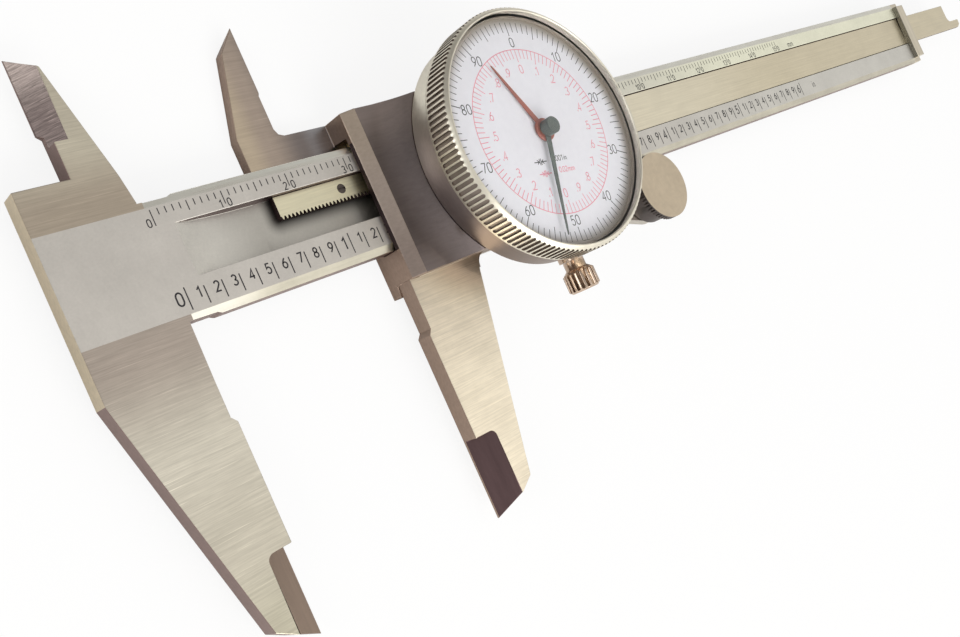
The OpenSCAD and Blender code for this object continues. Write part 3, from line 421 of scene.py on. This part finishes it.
# scale marks on the beam
# Engraved lines and figures, filled with black: millimetres along the top, inches and tenths
# along the bottom, both counted from the fixed jaw. Each is a flat line just above the steel.
material, tree, gloss = shader("black_filling")
gloss.inputs["Base Color"].default_value = (0.022, 0.020, 0.023, 1)
grit = tree.nodes.new("ShaderNodeTexNoise")
grit.inputs["Scale"].default_value = 5000
rough = tree.nodes.new("ShaderNodeMapRange")
rough.inputs["To Min"].default_value = 0.45
rough.inputs["To Max"].default_value = 0.8
place = tree.nodes.new("ShaderNodeTexCoord")
link(tree, place, "Object", grit, "Vector")
link(tree, grit, 0, rough, 0)
link(tree, rough, 0, gloss, "Roughness")
black_filling = material
SCALE_ZERO = 0.5


def arc(x, y, width, height, start, end, steps=9):
    """Points on an ellipse from one angle in degrees to another."""
    angles = [math.radians(start + (end - start) * i / steps) for i in range(steps + 1)]
    return [(x + width * math.cos(a), y + height * math.sin(a)) for a in angles]


six = [(0.38, 1.0), (0.17, 0.74), (0.03, 0.45)] + arc(0.25, 0.3, 0.25, 0.3, 160, -200, 16)
arch = arc(0.18, 0.42, 0.18, 0.2, 150, 0, 5)
SIGNS = {
    "0": [arc(0.25, 0.7, 0.25, 0.3, 0, 180) + arc(0.25, 0.3, 0.25, 0.3, 180, 360) + [(0.5, 0.7)]],
    "1": [[(0.06, 0.76), (0.30, 1.0), (0.30, 0.0)]],
    "2": [arc(0.25, 0.74, 0.24, 0.26, 165, -35) + [(0.0, 0.0), (0.5, 0.0)]],
    "3": [arc(0.24, 0.755, 0.22, 0.245, 155, -90), arc(0.24, 0.255, 0.25, 0.255, 90, -155)],
    "4": [[(0.36, 0.0), (0.36, 1.0), (0.0, 0.28), (0.5, 0.28)]],
    "5": [[(0.46, 1.0), (0.09, 1.0), (0.05, 0.53)] + arc(0.24, 0.32, 0.26, 0.32, 125, -150)],
    "6": [six],
    "7": [[(0.0, 1.0), (0.5, 1.0), (0.17, 0.0)]],
    "8": [arc(0.25, 0.76, 0.21, 0.24, -90, 270, 14), arc(0.25, 0.26, 0.25, 0.26, 90, 450, 14)],
    "9": [[(0.5 - x, 1.0 - y) for x, y in six]],
    ".": [[(0.05, -0.02), (0.05, 0.16)]],
    "i": [[(0.1, 0.0), (0.1, 0.62)], [(0.1, 0.8), (0.1, 0.92)]],
    "n": [[(0.0, 0.0), (0.0, 0.62)], arch + [(0.36, 0.0)]],
    "m": [[(0.0, 0.0), (0.0, 0.62)], arch + [(0.36, 0.0)], [(x + 0.36, y) for x, y in arch] + [(0.72, 0.0)]],
    ">": [[(0.0, 0.5), (1.0, 0.5)], [(0.62, 0.82), (1.02, 0.5), (0.62, 0.18)], [(1.16, 1.0), (1.16, 0.0)]],
    "<": [[(0.16, 0.5), (1.16, 0.5)], [(0.54, 0.82), (0.14, 0.5), (0.54, 0.18)], [(0.0, 1.0), (0.0, 0.0)]],
}
USUAL_STEP = 0.72
SIGN_STEP = {".": 0.22, "i": 0.38, "n": 0.58, "m": 0.95, "1": 0.66, ">": 1.42, "<": 1.38}


def ribbon(bm, points, width, index=0):
    """Adds an even line along points in mm to a flat mesh that faces up."""
    mitre = 0.45
    sides = []
    runs = [(b - a).normalized() for a, b in zip(points, points[1:])]
    for point, into, out in zip(points, runs[:1] + runs, runs + runs[-1:]):
        along = (into + out).normalized()
        side = Vector((along.y, -along.x, 0)) * (width / 2 / max(mitre, into.dot(along)))
        sides.append((bm.verts.new((point + side) * MM), bm.verts.new((point - side) * MM)))
    for (a, b), (d, c) in zip(sides, sides[1:]):
        bm.faces.new((a, d, c, b)).material_index = index


def stroke(bm, start, end, width, index=0):
    """Adds a straight line."""
    ribbon(bm, [Vector(start), Vector(end)], width, index)


def figures(bm, text, height, weight, turn, centre, index=0):
    """Adds figures of that height, line weight and centre in mm, each drawn as lines."""
    length = sum(SIGN_STEP.get(sign, USUAL_STEP) for sign in text) - 0.22
    place = Matrix.Translation(centre) @ Matrix.Rotation(turn, 4, "Z") @ Matrix.Scale(height, 4)
    x = -length / 2
    for sign in text:
        for line in SIGNS[sign]:
            ribbon(bm, [place @ Vector((x + u, v - 0.5, 0)) for u, v in line], weight, index)
        x += SIGN_STEP.get(sign, USUAL_STEP)


MARK_Z = FACE_Z + 0.006
TENTH = 2.54
MM_TOP, MM_LOW, FIVE_LOW, TEN_LOW, ZERO_LOW = 6.6, 5.75, 5.3, 4.84, 4.5
TENTH_TOP, TENTH_LOW = -4.10, -6.4
INCH_TOP, INCH_LOW = -3.57, -6.5
MM_LINE, TENTH_LINE = 0.14, 0.17
MM_FIGURE, TENTH_FIGURE, INCH_FIGURE = (1.0, 0.15), (1.32, 0.21), (1.65, 0.23)
FIGURE_Y = 4.95
bm = bmesh.new()
for i in range(0, 151):
    x = SCALE_ZERO + i
    low = ZERO_LOW if i == 0 else TEN_LOW if i % 10 == 0 else FIVE_LOW if i % 5 == 0 else MM_LOW
    stroke(bm, (x, AXIS_Y + low, MARK_Z), (x, AXIS_Y + MM_TOP, MARK_Z), MM_LINE)
for i in range(0, 61):
    x = SCALE_ZERO + TENTH * i
    high, low = (TENTH_TOP, TENTH_LOW) if i % 10 else (INCH_TOP, INCH_LOW)
    stroke(bm, (x, AXIS_Y + high, MARK_Z), (x, AXIS_Y + low, MARK_Z), TENTH_LINE)
    if i % 10:
        figures(bm, str(i % 10), *TENTH_FIGURE, 0, (x - 0.86, AXIS_Y - 4.72, MARK_Z))
    else:
        figures(bm, str(i // 10), *INCH_FIGURE, 0, (x - 1.05, AXIS_Y - 4.85, MARK_Z))
for i in range(1, 16):
    x = SCALE_ZERO + 10 * i
    beside = 0.62 if i < 10 else 0.98
    figures(bm, str(i), *MM_FIGURE, 0, (x - beside, AXIS_Y + FIGURE_Y, MARK_Z))
    figures(bm, "0", *MM_FIGURE, 0, (x + 0.62, AXIS_Y + FIGURE_Y, MARK_Z))
figures(bm, "0", *MM_FIGURE, 0, (SCALE_ZERO - 0.7, AXIS_Y + 5.0, MARK_Z))
figures(bm, "mm", 1.3, 0.14, 0, (SCALE_ZERO + 156, AXIS_Y + 5.2, MARK_Z))
figures(bm, "in", 1.5, 0.14, 0, (SCALE_ZERO + 158, AXIS_Y - 4.8, MARK_Z))
piece(bm, "scale_marks", "beam", [black_filling])

# rack, screws and end stop
# Four blackened countersunk screws hold the pale steel rack at the bottom of the beam's groove.
# The end stop is bent from steel plate. It closes the beam's right end and guides the depth bar,
# and two screws hold it.
screw_steel = steel("screw_steel", (0.52, 0.49, 0.45), (1800, 1800, 1800), 0.32, 0.003, 0.1)
rack_steel = steel("rack_steel", (0.76, 0.71, 0.52), (120, 2500, 2500), 0.34, 0.006, 0.1)


def coat(node, material):
    """Gives its finish to a solid that is seen as it is."""
    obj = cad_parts[node]
    if not obj.material_slots:
        obj.data.materials.append(material)
    for place in obj.material_slots:
        place.material = material


bm = solid("rack")
# The rack's sides get the painted dark shade.
finish(bm, [rack_steel, painted_dark_shade], lambda face: painted_dark_shade if abs(face.normal.z) < 0.2 else rack_steel)
piece(bm, "rack_strip", "beam", [rack_steel, painted_dark_shade], ["rack"])
coat("rack_screws", steel("black_screw", (0.13, 0.11, 0.10), (900, 900, 900), 0.42, 0.004, 0.1))
coat("end_stop_screws", screw_steel)
# Painted shade: the end plate's face towards the jaws is painted near black.
stop_painted_shade = steel("stop_painted_shade", (0.19, 0.18, 0.15), (900, 120, 900), 0.42, 0.004, 0.1)
stop_steel = steel("stop_steel", (0.66, 0.60, 0.48), (1500, 60, 1500), 0.32, 0.008, 0.1)
bm = solid("end_stop")
finish(bm, [stop_steel, stop_painted_shade], lambda face: stop_painted_shade if face.normal.x < -0.9 else stop_steel)
piece(bm, "end_stop_plate", "beam", [stop_steel, stop_painted_shade], ["end_stop"], edge=0.15)

# depth bar
# A thin flat bar of ground steel in the groove's mouth. Its far end is stepped down to a narrow
# nose that reaches into small holes, and two screws fix it to the slider.
# Painted light: the depth bar is painted a little darker towards its far end.
bar_steel = steel("depth_bar_steel", (0.76, 0.70, 0.55), (80, 4000, 900), 0.33, 0.008, 0.07, 0.04, 0.0,
                  ("X", [(105, (0.76, 0.70, 0.55)), (150, (0.69, 0.62, 0.46))]))
bm = solid("depth_bar")
# The bar's sides get the painted dark shade of the gaps beside them.
finish(bm, [bar_steel, painted_dark_shade], lambda face: painted_dark_shade if abs(face.normal.y) > 0.9 else bar_steel)
piece(bm, "depth_bar_strip", "slider", [bar_steel, painted_dark_shade], ["depth_bar"], edge=0.08)
coat("depth_bar_screws", screw_steel)

# slider with the moving jaws
# A ground steel body that rides over the beam. The front rises in a hollow curve to the dial's
# case, the outside jaw hangs in line with the beam, and the inside jaw stands behind it.
OPENING = 31.83
# Painted light: the moving jaw is painted palest at its tip and darker towards its root.
jaw_pale = steel("pale_jaw", (0.84, 0.755, 0.60), (150, 5200, 900), 0.32, 0.008, 0.12, 0.08, 0.12,
                 ("Y", [(AXIS_Y - 30, (0.84, 0.755, 0.60)), (AXIS_Y - 21, (0.72, 0.64, 0.51)),
                        (AXIS_Y - 13, (0.60, 0.53, 0.43))]))
# Painted shade: the nib's root is painted darker towards the slider, and a little lighter again at its step.
nib_root = steel("nib_root", (0.52, 0.43, 0.345), (90, 3200, 900), 0.34, 0.008, 0.10, 0.05, 0.15,
                 ("X", [(OPENING - 13, (0.56, 0.465, 0.35)), (OPENING - 9.7, (0.44, 0.36, 0.30)),
                        (OPENING - 4.5, (0.22, 0.19, 0.18)), (OPENING - 1.6, (0.32, 0.31, 0.32))]))
# Painted reflection and shade: the slider's hollow front and upper walls are painted near black, lighter
# towards the back.
slider_front = steel("slider_front", (0.165, 0.14, 0.138), (90, 2600, 2600), 0.36, 0.006, 0.08, 0.05, 0.0,
                     ("Y", [(AXIS_Y + 3, (0.165, 0.14, 0.138)), (AXIS_Y + 12, (0.26, 0.215, 0.20))]))
# Painted light: the reading edge is painted darker towards the jaw and lighter towards the back.
slider_edge = steel("slider_edge", (0.41, 0.34, 0.295), (90, 2600, 2600), 0.34, 0.006, 0.08, 0.05, 0.0,
                    ("Y", [(AXIS_Y - 11, (0.31, 0.25, 0.22)), (AXIS_Y, (0.41, 0.34, 0.295)),
                           (AXIS_Y + 10, (0.45, 0.37, 0.30))]))
# Painted shade: the reading edge's wall over the beam's channel is painted near black.
strip_painted_shade = steel("strip_painted_shade", (0.052, 0.036, 0.038), (900, 120, 900), 0.42, 0.004, 0.10)
# Painted shade on the slider's lower sides and its low faces.
half_shaded_side = steel("painted_half_shade_side", (0.32, 0.238, 0.19), (60, 1500, 2600), 0.38, 0.008, 0.12)
EDGE_END = OPENING + 2.55
JAW_ROOT = -12.8
CHANNEL = 8.08
LEDGE_Z = FACE_Z + 2.1


def slider_finish(face):
    """Says how a face of the slider is ground, and which painted light or shade it gets by the way it faces.
    """
    c, n = face.calc_center_median() / MM, face.normal
    y = c.y - AXIS_Y
    if n.x < -0.9 and abs(y) < CHANNEL and c.z > FACE_Z and c.x < EDGE_END:
        return strip_painted_shade
    if y < JAW_ROOT and n.z > 0.3:
        return painted_dark_shade if n.z < 0.9 else jaw_pale if c.z > 0 else half_shaded_side
    if n.z > 0.3 and c.z > FACE_Z:
        return slider_edge if c.x < EDGE_END else slider_front
    if n.z > 0.3:
        return nib_root
    if abs(n.z) < 0.2:
        return slider_front if c.z > LEDGE_Z else half_shaded_side
    return jaw_pale


bm = solid("slider_body")
cut_at(bm, EDGE_END, [f for f in bm.faces if f.calc_center_median().y > (AXIS_Y + JAW_ROOT) * MM])
cut_across(bm, CHANNEL)
cut_across(bm, -CHANNEL)
slider_finishes = [jaw_pale, slider_front, slider_edge, half_shaded_side, nib_root, painted_dark_shade, strip_painted_shade]
finish(bm, slider_finishes, slider_finish)
piece(bm, "slider_frame", "slider", slider_finishes, ["slider_body"], edge=0.1, sharp=20)
coat("gib", steel("gib_brass", (0.72, 0.56, 0.28), (60, 2000, 2000), 0.32, 0.005))
coat("gib_screws", steel("dark_steel", (0.30, 0.28, 0.26), (900, 900, 900), 0.38, 0.004, 0.1))
back_steel = steel("back_steel", (0.56, 0.53, 0.48), (60, 2400, 900), 0.34, 0.008, 0.08, 0.04)
piece(solid("back_plate"), "slider_back", "slider", [back_steel], ["back_plate"], edge=0.12)
coat("back_plate_screws", screw_steel)

# dial case
# A turned steel drum, screwed to the slider from behind. A thin spigot on top carries the bezel,
# and a wire ring in its groove keeps the bezel on.
# Painted light: the drum is painted dark towards the jaws' side and bright towards the back.
case_steel = steel("case_steel", (0.62, 0.57, 0.51), (900, 900, 4200), 0.34, 0.004, 0.06, 0.03, 0.0,
                   ("Y", [(AXIS_Y - 14, (0.25, 0.20, 0.17)), (AXIS_Y - 5, (0.46, 0.395, 0.38)),
                          (AXIS_Y + 3, (0.62, 0.57, 0.51)), (AXIS_Y + 10, (0.92, 0.88, 0.76))]))
piece(solid("dial_case"), "case_drum", "slider", [case_steel], ["dial_case"], edge=0.12)
for node in ("case_screws", "movement_screws", "bezel_spring", "roller_clip"):
    coat(node, screw_steel)

# movement
# The rack turns a small steel pinion, and brass gears on its arbor drive both pointers' arbors.
# A take-up gear with a blued hairspring keeps the teeth pressed to one side.
gear_brass = steel("gear_brass", (0.80, 0.62, 0.30), (2500, 2500, 900), 0.28, 0.003, 0.06)
blued_steel = steel("blued_steel", (0.12, 0.16, 0.34), (900, 900, 900), 0.26, 0.002, 0.1)
for node in ("pinion_bush", "centre_bush", "movement_plate", "movement_pillars", "hairspring_stud",
             "inch_gear", "mm_gear", "take_up_gear"):
    coat(node, gear_brass)
for node in ("pinion_arbor", "inch_arbor", "mm_tube"):
    coat(node, screw_steel)
coat("hairspring", blued_steel)

# dial
# A thin metal disc under the crystal, enamelled white and printed with two rings and their
# figures. The black ring outside has 100 steps of 0.001 inch, the red one inside 100 steps of
# 0.02 mm. Its margin is painted darker and browner all round, as shade from the bezel's rim.
DIAL = Vector((OPENING + 26.6, AXIS_Y, FACE_Z)) * MM
DIAL_Z = FACE_Z + 11.0
ZERO = math.radians(83.4)
material, tree, gloss = shader("dial_white")
gloss.inputs["Roughness"].default_value = 0.45
gloss.inputs["Specular IOR Level"].default_value = 0.3
place = tree.nodes.new("ShaderNodeTexCoord")
speck = tree.nodes.new("ShaderNodeTexNoise")
speck.inputs["Scale"].default_value = 900
tones = tree.nodes.new("ShaderNodeValToRGB")
tones.color_ramp.elements[0].color = (0.765, 0.768, 0.825, 1)
tones.color_ramp.elements[1].color = (0.82, 0.822, 0.875, 1)
link(tree, place, "Object", speck, "Vector")
link(tree, speck, 0, tones, 0)
off_centre = tree.nodes.new("ShaderNodeVectorMath")
off_centre.operation = "SUBTRACT"
off_centre.inputs[1].default_value = (DIAL.x, DIAL.y, DIAL_Z * MM)
radius = tree.nodes.new("ShaderNodeVectorMath")
radius.operation = "LENGTH"
# Painted shade: the dial is painted darker and browner from 15.8 mm out to its edge.
rim = tree.nodes.new("ShaderNodeMapRange")
rim.inputs["From Min"].default_value = 15.8 * MM
rim.inputs["From Max"].default_value = 18.2 * MM
margin = tree.nodes.new("ShaderNodeValToRGB")
margin.color_ramp.interpolation = "EASE"
margin.color_ramp.elements[0].color = (1, 1, 1, 1)
margin.color_ramp.elements[1].color = (0.40, 0.35, 0.27, 1)
margin_shade = tree.nodes.new("ShaderNodeMix")
margin_shade.data_type = "RGBA"
margin_shade.blend_type = "MULTIPLY"
margin_shade.inputs["Factor"].default_value = 1.0
link(tree, place, "Object", off_centre, 0)
link(tree, off_centre, 0, radius, 0)
link(tree, radius, "Value", rim, "Value")
link(tree, rim, 0, margin, 0)
tree.links.new(tones.outputs[0], margin_shade.inputs[COLOUR_A])
tree.links.new(margin.outputs[0], margin_shade.inputs[COLOUR_B])
tree.links.new(margin_shade.outputs[COLOUR_OUT], gloss.inputs["Base Color"])
coat("dial_plate", material)


def paint(name, colour, rough=0.5):
    """A plain paint or ink, a little uneven in tone."""
    material, tree, gloss = shader(name)
    gloss.inputs["Roughness"].default_value = rough
    place = tree.nodes.new("ShaderNodeTexCoord")
    speck = tree.nodes.new("ShaderNodeTexNoise")
    speck.inputs["Scale"].default_value = 2500
    tones = tree.nodes.new("ShaderNodeValToRGB")
    tones.color_ramp.elements[0].color = [c * 0.85 for c in colour] + [1]
    tones.color_ramp.elements[1].color = [min(1, c * 1.15) for c in colour] + [1]
    link(tree, place, "Object", speck, "Vector")
    link(tree, speck, 0, tones, 0)
    link(tree, tones, 0, gloss, "Base Color")
    return material


black_ink = paint("black_ink", (0.05, 0.055, 0.06))
red_ink = paint("red_ink", (0.78, 0.28, 0.36))
INK_Z = DIAL_Z + 0.008
centre = Vector((OPENING + 26.6, AXIS_Y, INK_Z))
TICK_OUT, TICK_IN, FIVE_IN = 17.5, 15.9, 15.3
RED_RING, RED_IN, RED_FIVE_IN = 13.1, 11.6, 11.05
BLACK_FIGURES, RED_FIGURES = 14.25, 9.92
TICK, TEN_TICK, RING_LINE = 0.12, 0.14, 0.13
BLACK_FIGURE, RED_FIGURE, ARROW_FIGURE, STEP_FIGURE = (1.45, 0.15), (1.3, 0.13), (1.0, 0.15), (0.8, 0.11)
ARROWS, STEPS = Vector((-3.35, -4.35, 0)), Vector((0.75, -4.6, 0))
ROW = 1.9


def around(radius, turns):
    """A point on the dial at a radius in mm, some turns clockwise from its zero."""
    angle = ZERO - turns * 2 * math.pi
    return centre + Vector((math.cos(angle), math.sin(angle), 0)) * radius


bm = bmesh.new()
upright = ZERO - math.pi / 2
for i in range(100):
    weight = TICK if i % 10 else TEN_TICK
    stroke(bm, around(TICK_IN if i % 5 else FIVE_IN, i / 100), around(TICK_OUT, i / 100), weight)
    stroke(bm, around(RED_IN if i % 5 else RED_FIVE_IN, i / 100), around(RED_RING, i / 100), TICK, 1)
ribbon(bm, [around(RED_RING, i / 180) for i in range(181)], RING_LINE, 1)
for i in range(0, 100, 10):
    figures(bm, str(i), *BLACK_FIGURE, upright, around(BLACK_FIGURES, i / 100))
for i in range(20):
    text = "0" if i % 10 == 0 else ".%d" % (i % 10)
    figures(bm, text, *RED_FIGURE, upright, around(RED_FIGURES, i / 20), 1)
for row, text in enumerate(("0.001in", "0.02mm")):
    figures(bm, "><", *ARROW_FIGURE, upright, centre + ARROWS + Vector((0, -ROW * row, 0)), row)
    figures(bm, text, *STEP_FIGURE, upright, centre + STEPS + Vector((0.6 * row, -ROW * row, 0)), row)
piece(bm, "dial_print", "bezel", [black_ink, red_ink])

# pointers
# Two hands pressed from thin sheet, with turned hubs, painted: the red one low on its tube, the
# black one on the arbor through it. They turn together at different rates.
black_paint = paint("pointer_black", (0.10, 0.12, 0.11), 0.38)
red_paint = paint("pointer_red", (0.36, 0.12, 0.09), 0.38)
HAND_T = 0.15
BLACK_TURN = 2.54
RED_TURN = 2.0


def turned(profile, steps):
    """Turns an outline round the dial's axis. Its points are a radius and a height in mm."""
    bm = bmesh.new()
    verts = [bm.verts.new(DIAL + Vector((radius, 0, height)) * MM) for radius, height in profile]
    edges = [bm.edges.new(pair) for pair in zip(verts, verts[1:])]
    bmesh.ops.spin(bm, geom=verts + edges, cent=DIAL, axis=(0, 0, 1), angle=2 * math.pi, steps=steps,
                   use_merge=True)
    bmesh.ops.remove_doubles(bm, verts=bm.verts, dist=TOUCH)
    bmesh.ops.recalc_face_normals(bm, faces=bm.faces)
    return bm


def pointer(name, body, coating, node, turns, length, low, hub_r, bore, hub_low, hub_top):
    """A hand, some turns clockwise from the zero. Its heights are above the beam's scale face."""
    bm = turned([(bore, hub_low), (hub_r - 0.06, hub_low), (hub_r, hub_low + 0.06), (hub_r, hub_top - 0.1),
                 (hub_r - 0.1, hub_top), (bore, hub_top), (bore, hub_low)], 64)
    blade = [(-0.1, -0.52), (length - 1.2, -0.16), (length, -0.05), (length, 0.05), (length - 1.2, 0.16),
             (-0.1, 0.52)]
    turn = Matrix.Translation(DIAL) @ Matrix.Rotation(ZERO - turns * 2 * math.pi, 4, "Z")
    under = bm.faces.new([bm.verts.new(turn @ (Vector((x, y, low)) * MM)) for x, y in blade])
    grown = bmesh.ops.extrude_face_region(bm, geom=[under])
    bmesh.ops.translate(bm, verts=[v for v in grown["geom"] if isinstance(v, bmesh.types.BMVert)],
                        vec=(0, 0, HAND_T * MM))
    bmesh.ops.recalc_face_normals(bm, faces=bm.faces)
    piece(bm, name, body, [coating], [node], edge=0.03)


pointer("red_hand", "mm_hand", red_paint, "mm_pointer", OPENING / RED_TURN,
        length=12.3, low=11.25, hub_r=1.8, bore=0.5, hub_low=11.15, hub_top=11.6)
pointer("black_hand", "inch_hand", black_paint, "inch_pointer", OPENING / BLACK_TURN,
        length=16.6, low=11.72, hub_r=1.3, bore=0.0005, hub_low=11.72, hub_top=13.4)

# bezel
# A turned ring, plated a warm satin, that turns the dial to zero. An end mill has cut a row of
# round-ended slots into its rim. Inside, a dull spacer ring keeps the crystal off the dial.
bezel_satin = steel("bezel_satin", (0.78, 0.74, 0.63), (900, 900, 2600), 0.38, 0.003, 0.05)
# Painted shade: the slots' faces are painted darker than the rim.
slot_dark = steel("slot_dark", (0.34, 0.295, 0.26), (900, 900, 900), 0.40, 0.003, 0.1)
bore_shade = paint("bore_shade", (0.80, 0.73, 0.64))
bezel_finishes = [bezel_satin, slot_dark, bore_shade]
RING_R, RING_LOW = 19.3, 8.12
SPIGOT_BORE, LEDGE = 17.54, 10.6
RIM_BORE, LIP_R, LIP_UNDER = 18.65, 18.4, 12.47
SLOTS, SLOT_W, SLOT_L, SLOT_MIDDLE, SLOT_FLOOR = 135, 0.6, 4.0, 10.6, 19.0
CUTTER_T, END_ROUND = 1.4, 0.29
foot = [(SPIGOT_BORE, RING_LOW), (19.05, RING_LOW), (19.2, 8.17), (19.27, 8.25), (RING_R, 8.4)]
rim = [(RING_R, 12.36), (19.25, 12.46), (18.8, 12.9), (18.72, 12.97), (18.62, 13.01), (18.55, 13.01),
       (18.47, 12.97), (18.42, 12.9), (LIP_R, 12.77)]
inside = [(LIP_R, LIP_UNDER), (RIM_BORE, LIP_UNDER), (RIM_BORE, LEDGE), (SPIGOT_BORE, LEDGE),
          (SPIGOT_BORE, RING_LOW)]


def raw_piece(name, bm):
    """A mesh object with the bezel's finishes, for a cut."""
    mesh = bpy.data.meshes.new(name)
    bm.to_mesh(mesh)
    bm.free()
    for material in bezel_finishes:
        mesh.materials.append(material)
    obj = bpy.data.objects.new(name, mesh)
    scene.collection.objects.link(obj)
    return obj


bezel = raw_piece("bezel_ring", turned(foot + rim + inside, 2 * SLOTS))
for face in bezel.data.polygons:
    face.use_smooth = True
    out = Vector(face.center) - DIAL
    if out.z < (LIP_UNDER + 0.03) * MM and out.xy.length < (RIM_BORE + 0.05) * MM:
        face.material_index = bezel_finishes.index(bore_shade)
bm = bmesh.new()
bmesh.ops.create_cube(bm, size=1.0)
bmesh.ops.scale(bm, vec=Vector((CUTTER_T, SLOT_W, SLOT_L)) * MM, verts=bm.verts)
long_edges = [e for e in bm.edges if abs((e.verts[0].co - e.verts[1].co).x) > CUTTER_T / 2 * MM]
bmesh.ops.bevel(bm, geom=long_edges, offset=END_ROUND * MM, segments=4, affect="EDGES", profile=0.5,
                material=-1)
bmesh.ops.translate(bm, verts=bm.verts, vec=DIAL + Vector((SLOT_FLOOR + CUTTER_T / 2, 0, SLOT_MIDDLE)) * MM)
bmesh.ops.spin(bm, geom=bm.verts[:] + bm.edges[:] + bm.faces[:], cent=DIAL, axis=(0, 0, 1),
               angle=2 * math.pi * (SLOTS - 1) / SLOTS, steps=SLOTS - 1, use_duplicate=True)
for face in bm.faces:
    face.material_index = bezel_finishes.index(slot_dark)
end_mill = raw_piece("end_mill", bm)
cut = bezel.modifiers.new("slots", "BOOLEAN")
cut.operation = "DIFFERENCE"
cut.solver = "EXACT"
cut.object = end_mill
bpy.context.view_layer.update()
knurled = bpy.data.meshes.new_from_object(bezel.evaluated_get(bpy.context.evaluated_depsgraph_get()))
bpy.data.objects.remove(bezel)
bpy.data.objects.remove(end_mill)
bm = bmesh.new()
bm.from_mesh(knurled)
piece(bm, "bezel_rim", "bezel", bezel_finishes, ["bezel"], sharp=35)
coat("spacer_ring", paint("spacer_shade", (0.37, 0.32, 0.26)))

# crystal
# A clear plastic dome, pressed in under the bezel's lip. It bends the light hardly at all here,
# because it is thin, and its polish is a coat on top.
material, tree, gloss = shader("clear_crystal")
gloss.inputs["Base Color"].default_value = (1, 1, 1, 1)
gloss.inputs["Roughness"].default_value = 0.03
gloss.inputs["IOR"].default_value = 1.01
gloss.inputs["Transmission Weight"].default_value = 1.0
gloss.inputs["Coat Weight"].default_value = 0.35
gloss.inputs["Coat Roughness"].default_value = 0.03
gloss.inputs["Coat IOR"].default_value = 1.45
place = tree.nodes.new("ShaderNodeTexCoord")
waves = tree.nodes.new("ShaderNodeTexNoise")
waves.inputs["Scale"].default_value = 60
ripple = tree.nodes.new("ShaderNodeBump")
ripple.inputs["Distance"].default_value = 0.000004
link(tree, place, "Object", waves, "Vector")
link(tree, waves, 0, ripple, "Height")
link(tree, ripple, 0, gloss, "Normal")
coat("crystal", material)

# thumb roller
# A steel disc with a knurled rim, on a pin that a clip holds. Its drum rolls along the beam's
# lower edge, so a thumb drives the slider by it.
roller_face = steel("roller_face", (0.57, 0.48, 0.36), (900, 900, 900), 0.36, 0.006, 0.06, 0.05)
# Painted shade: the knurled rim's sides are painted near black against the face.
roller_dark = steel("roller_rim", (0.11, 0.095, 0.09), (900, 900, 900), 0.42, 0.004, 0.1)
bm = solid("thumb_roller")
finish(bm, [roller_face, roller_dark], lambda face: roller_dark if abs(face.normal.z) < 0.7 else roller_face)
piece(bm, "roller_disc", "roller", [roller_face, roller_dark], ["thumb_roller"], edge=0.06)

# lock screws
# A fluted brass screw holds the bezel still, through a collar on the case. A steel one on top
# of the slider, behind the dial, presses the gib on the beam.
lock_brass = steel("lock_brass", (0.60, 0.47, 0.37), (2500, 400, 2500), 0.20, 0.003, 0.08)
piece(solid("bezel_lock_screw"), "bezel_lock_knob", "bezel_lock", [lock_brass],
      ["bezel_lock_screw"], edge=0.08)
coat("bezel_lock_collar", lock_brass)
piece(solid("slide_lock_screw"), "slide_lock_knob", "slide_lock", [screw_steel],
      ["slide_lock_screw"], edge=0.08)
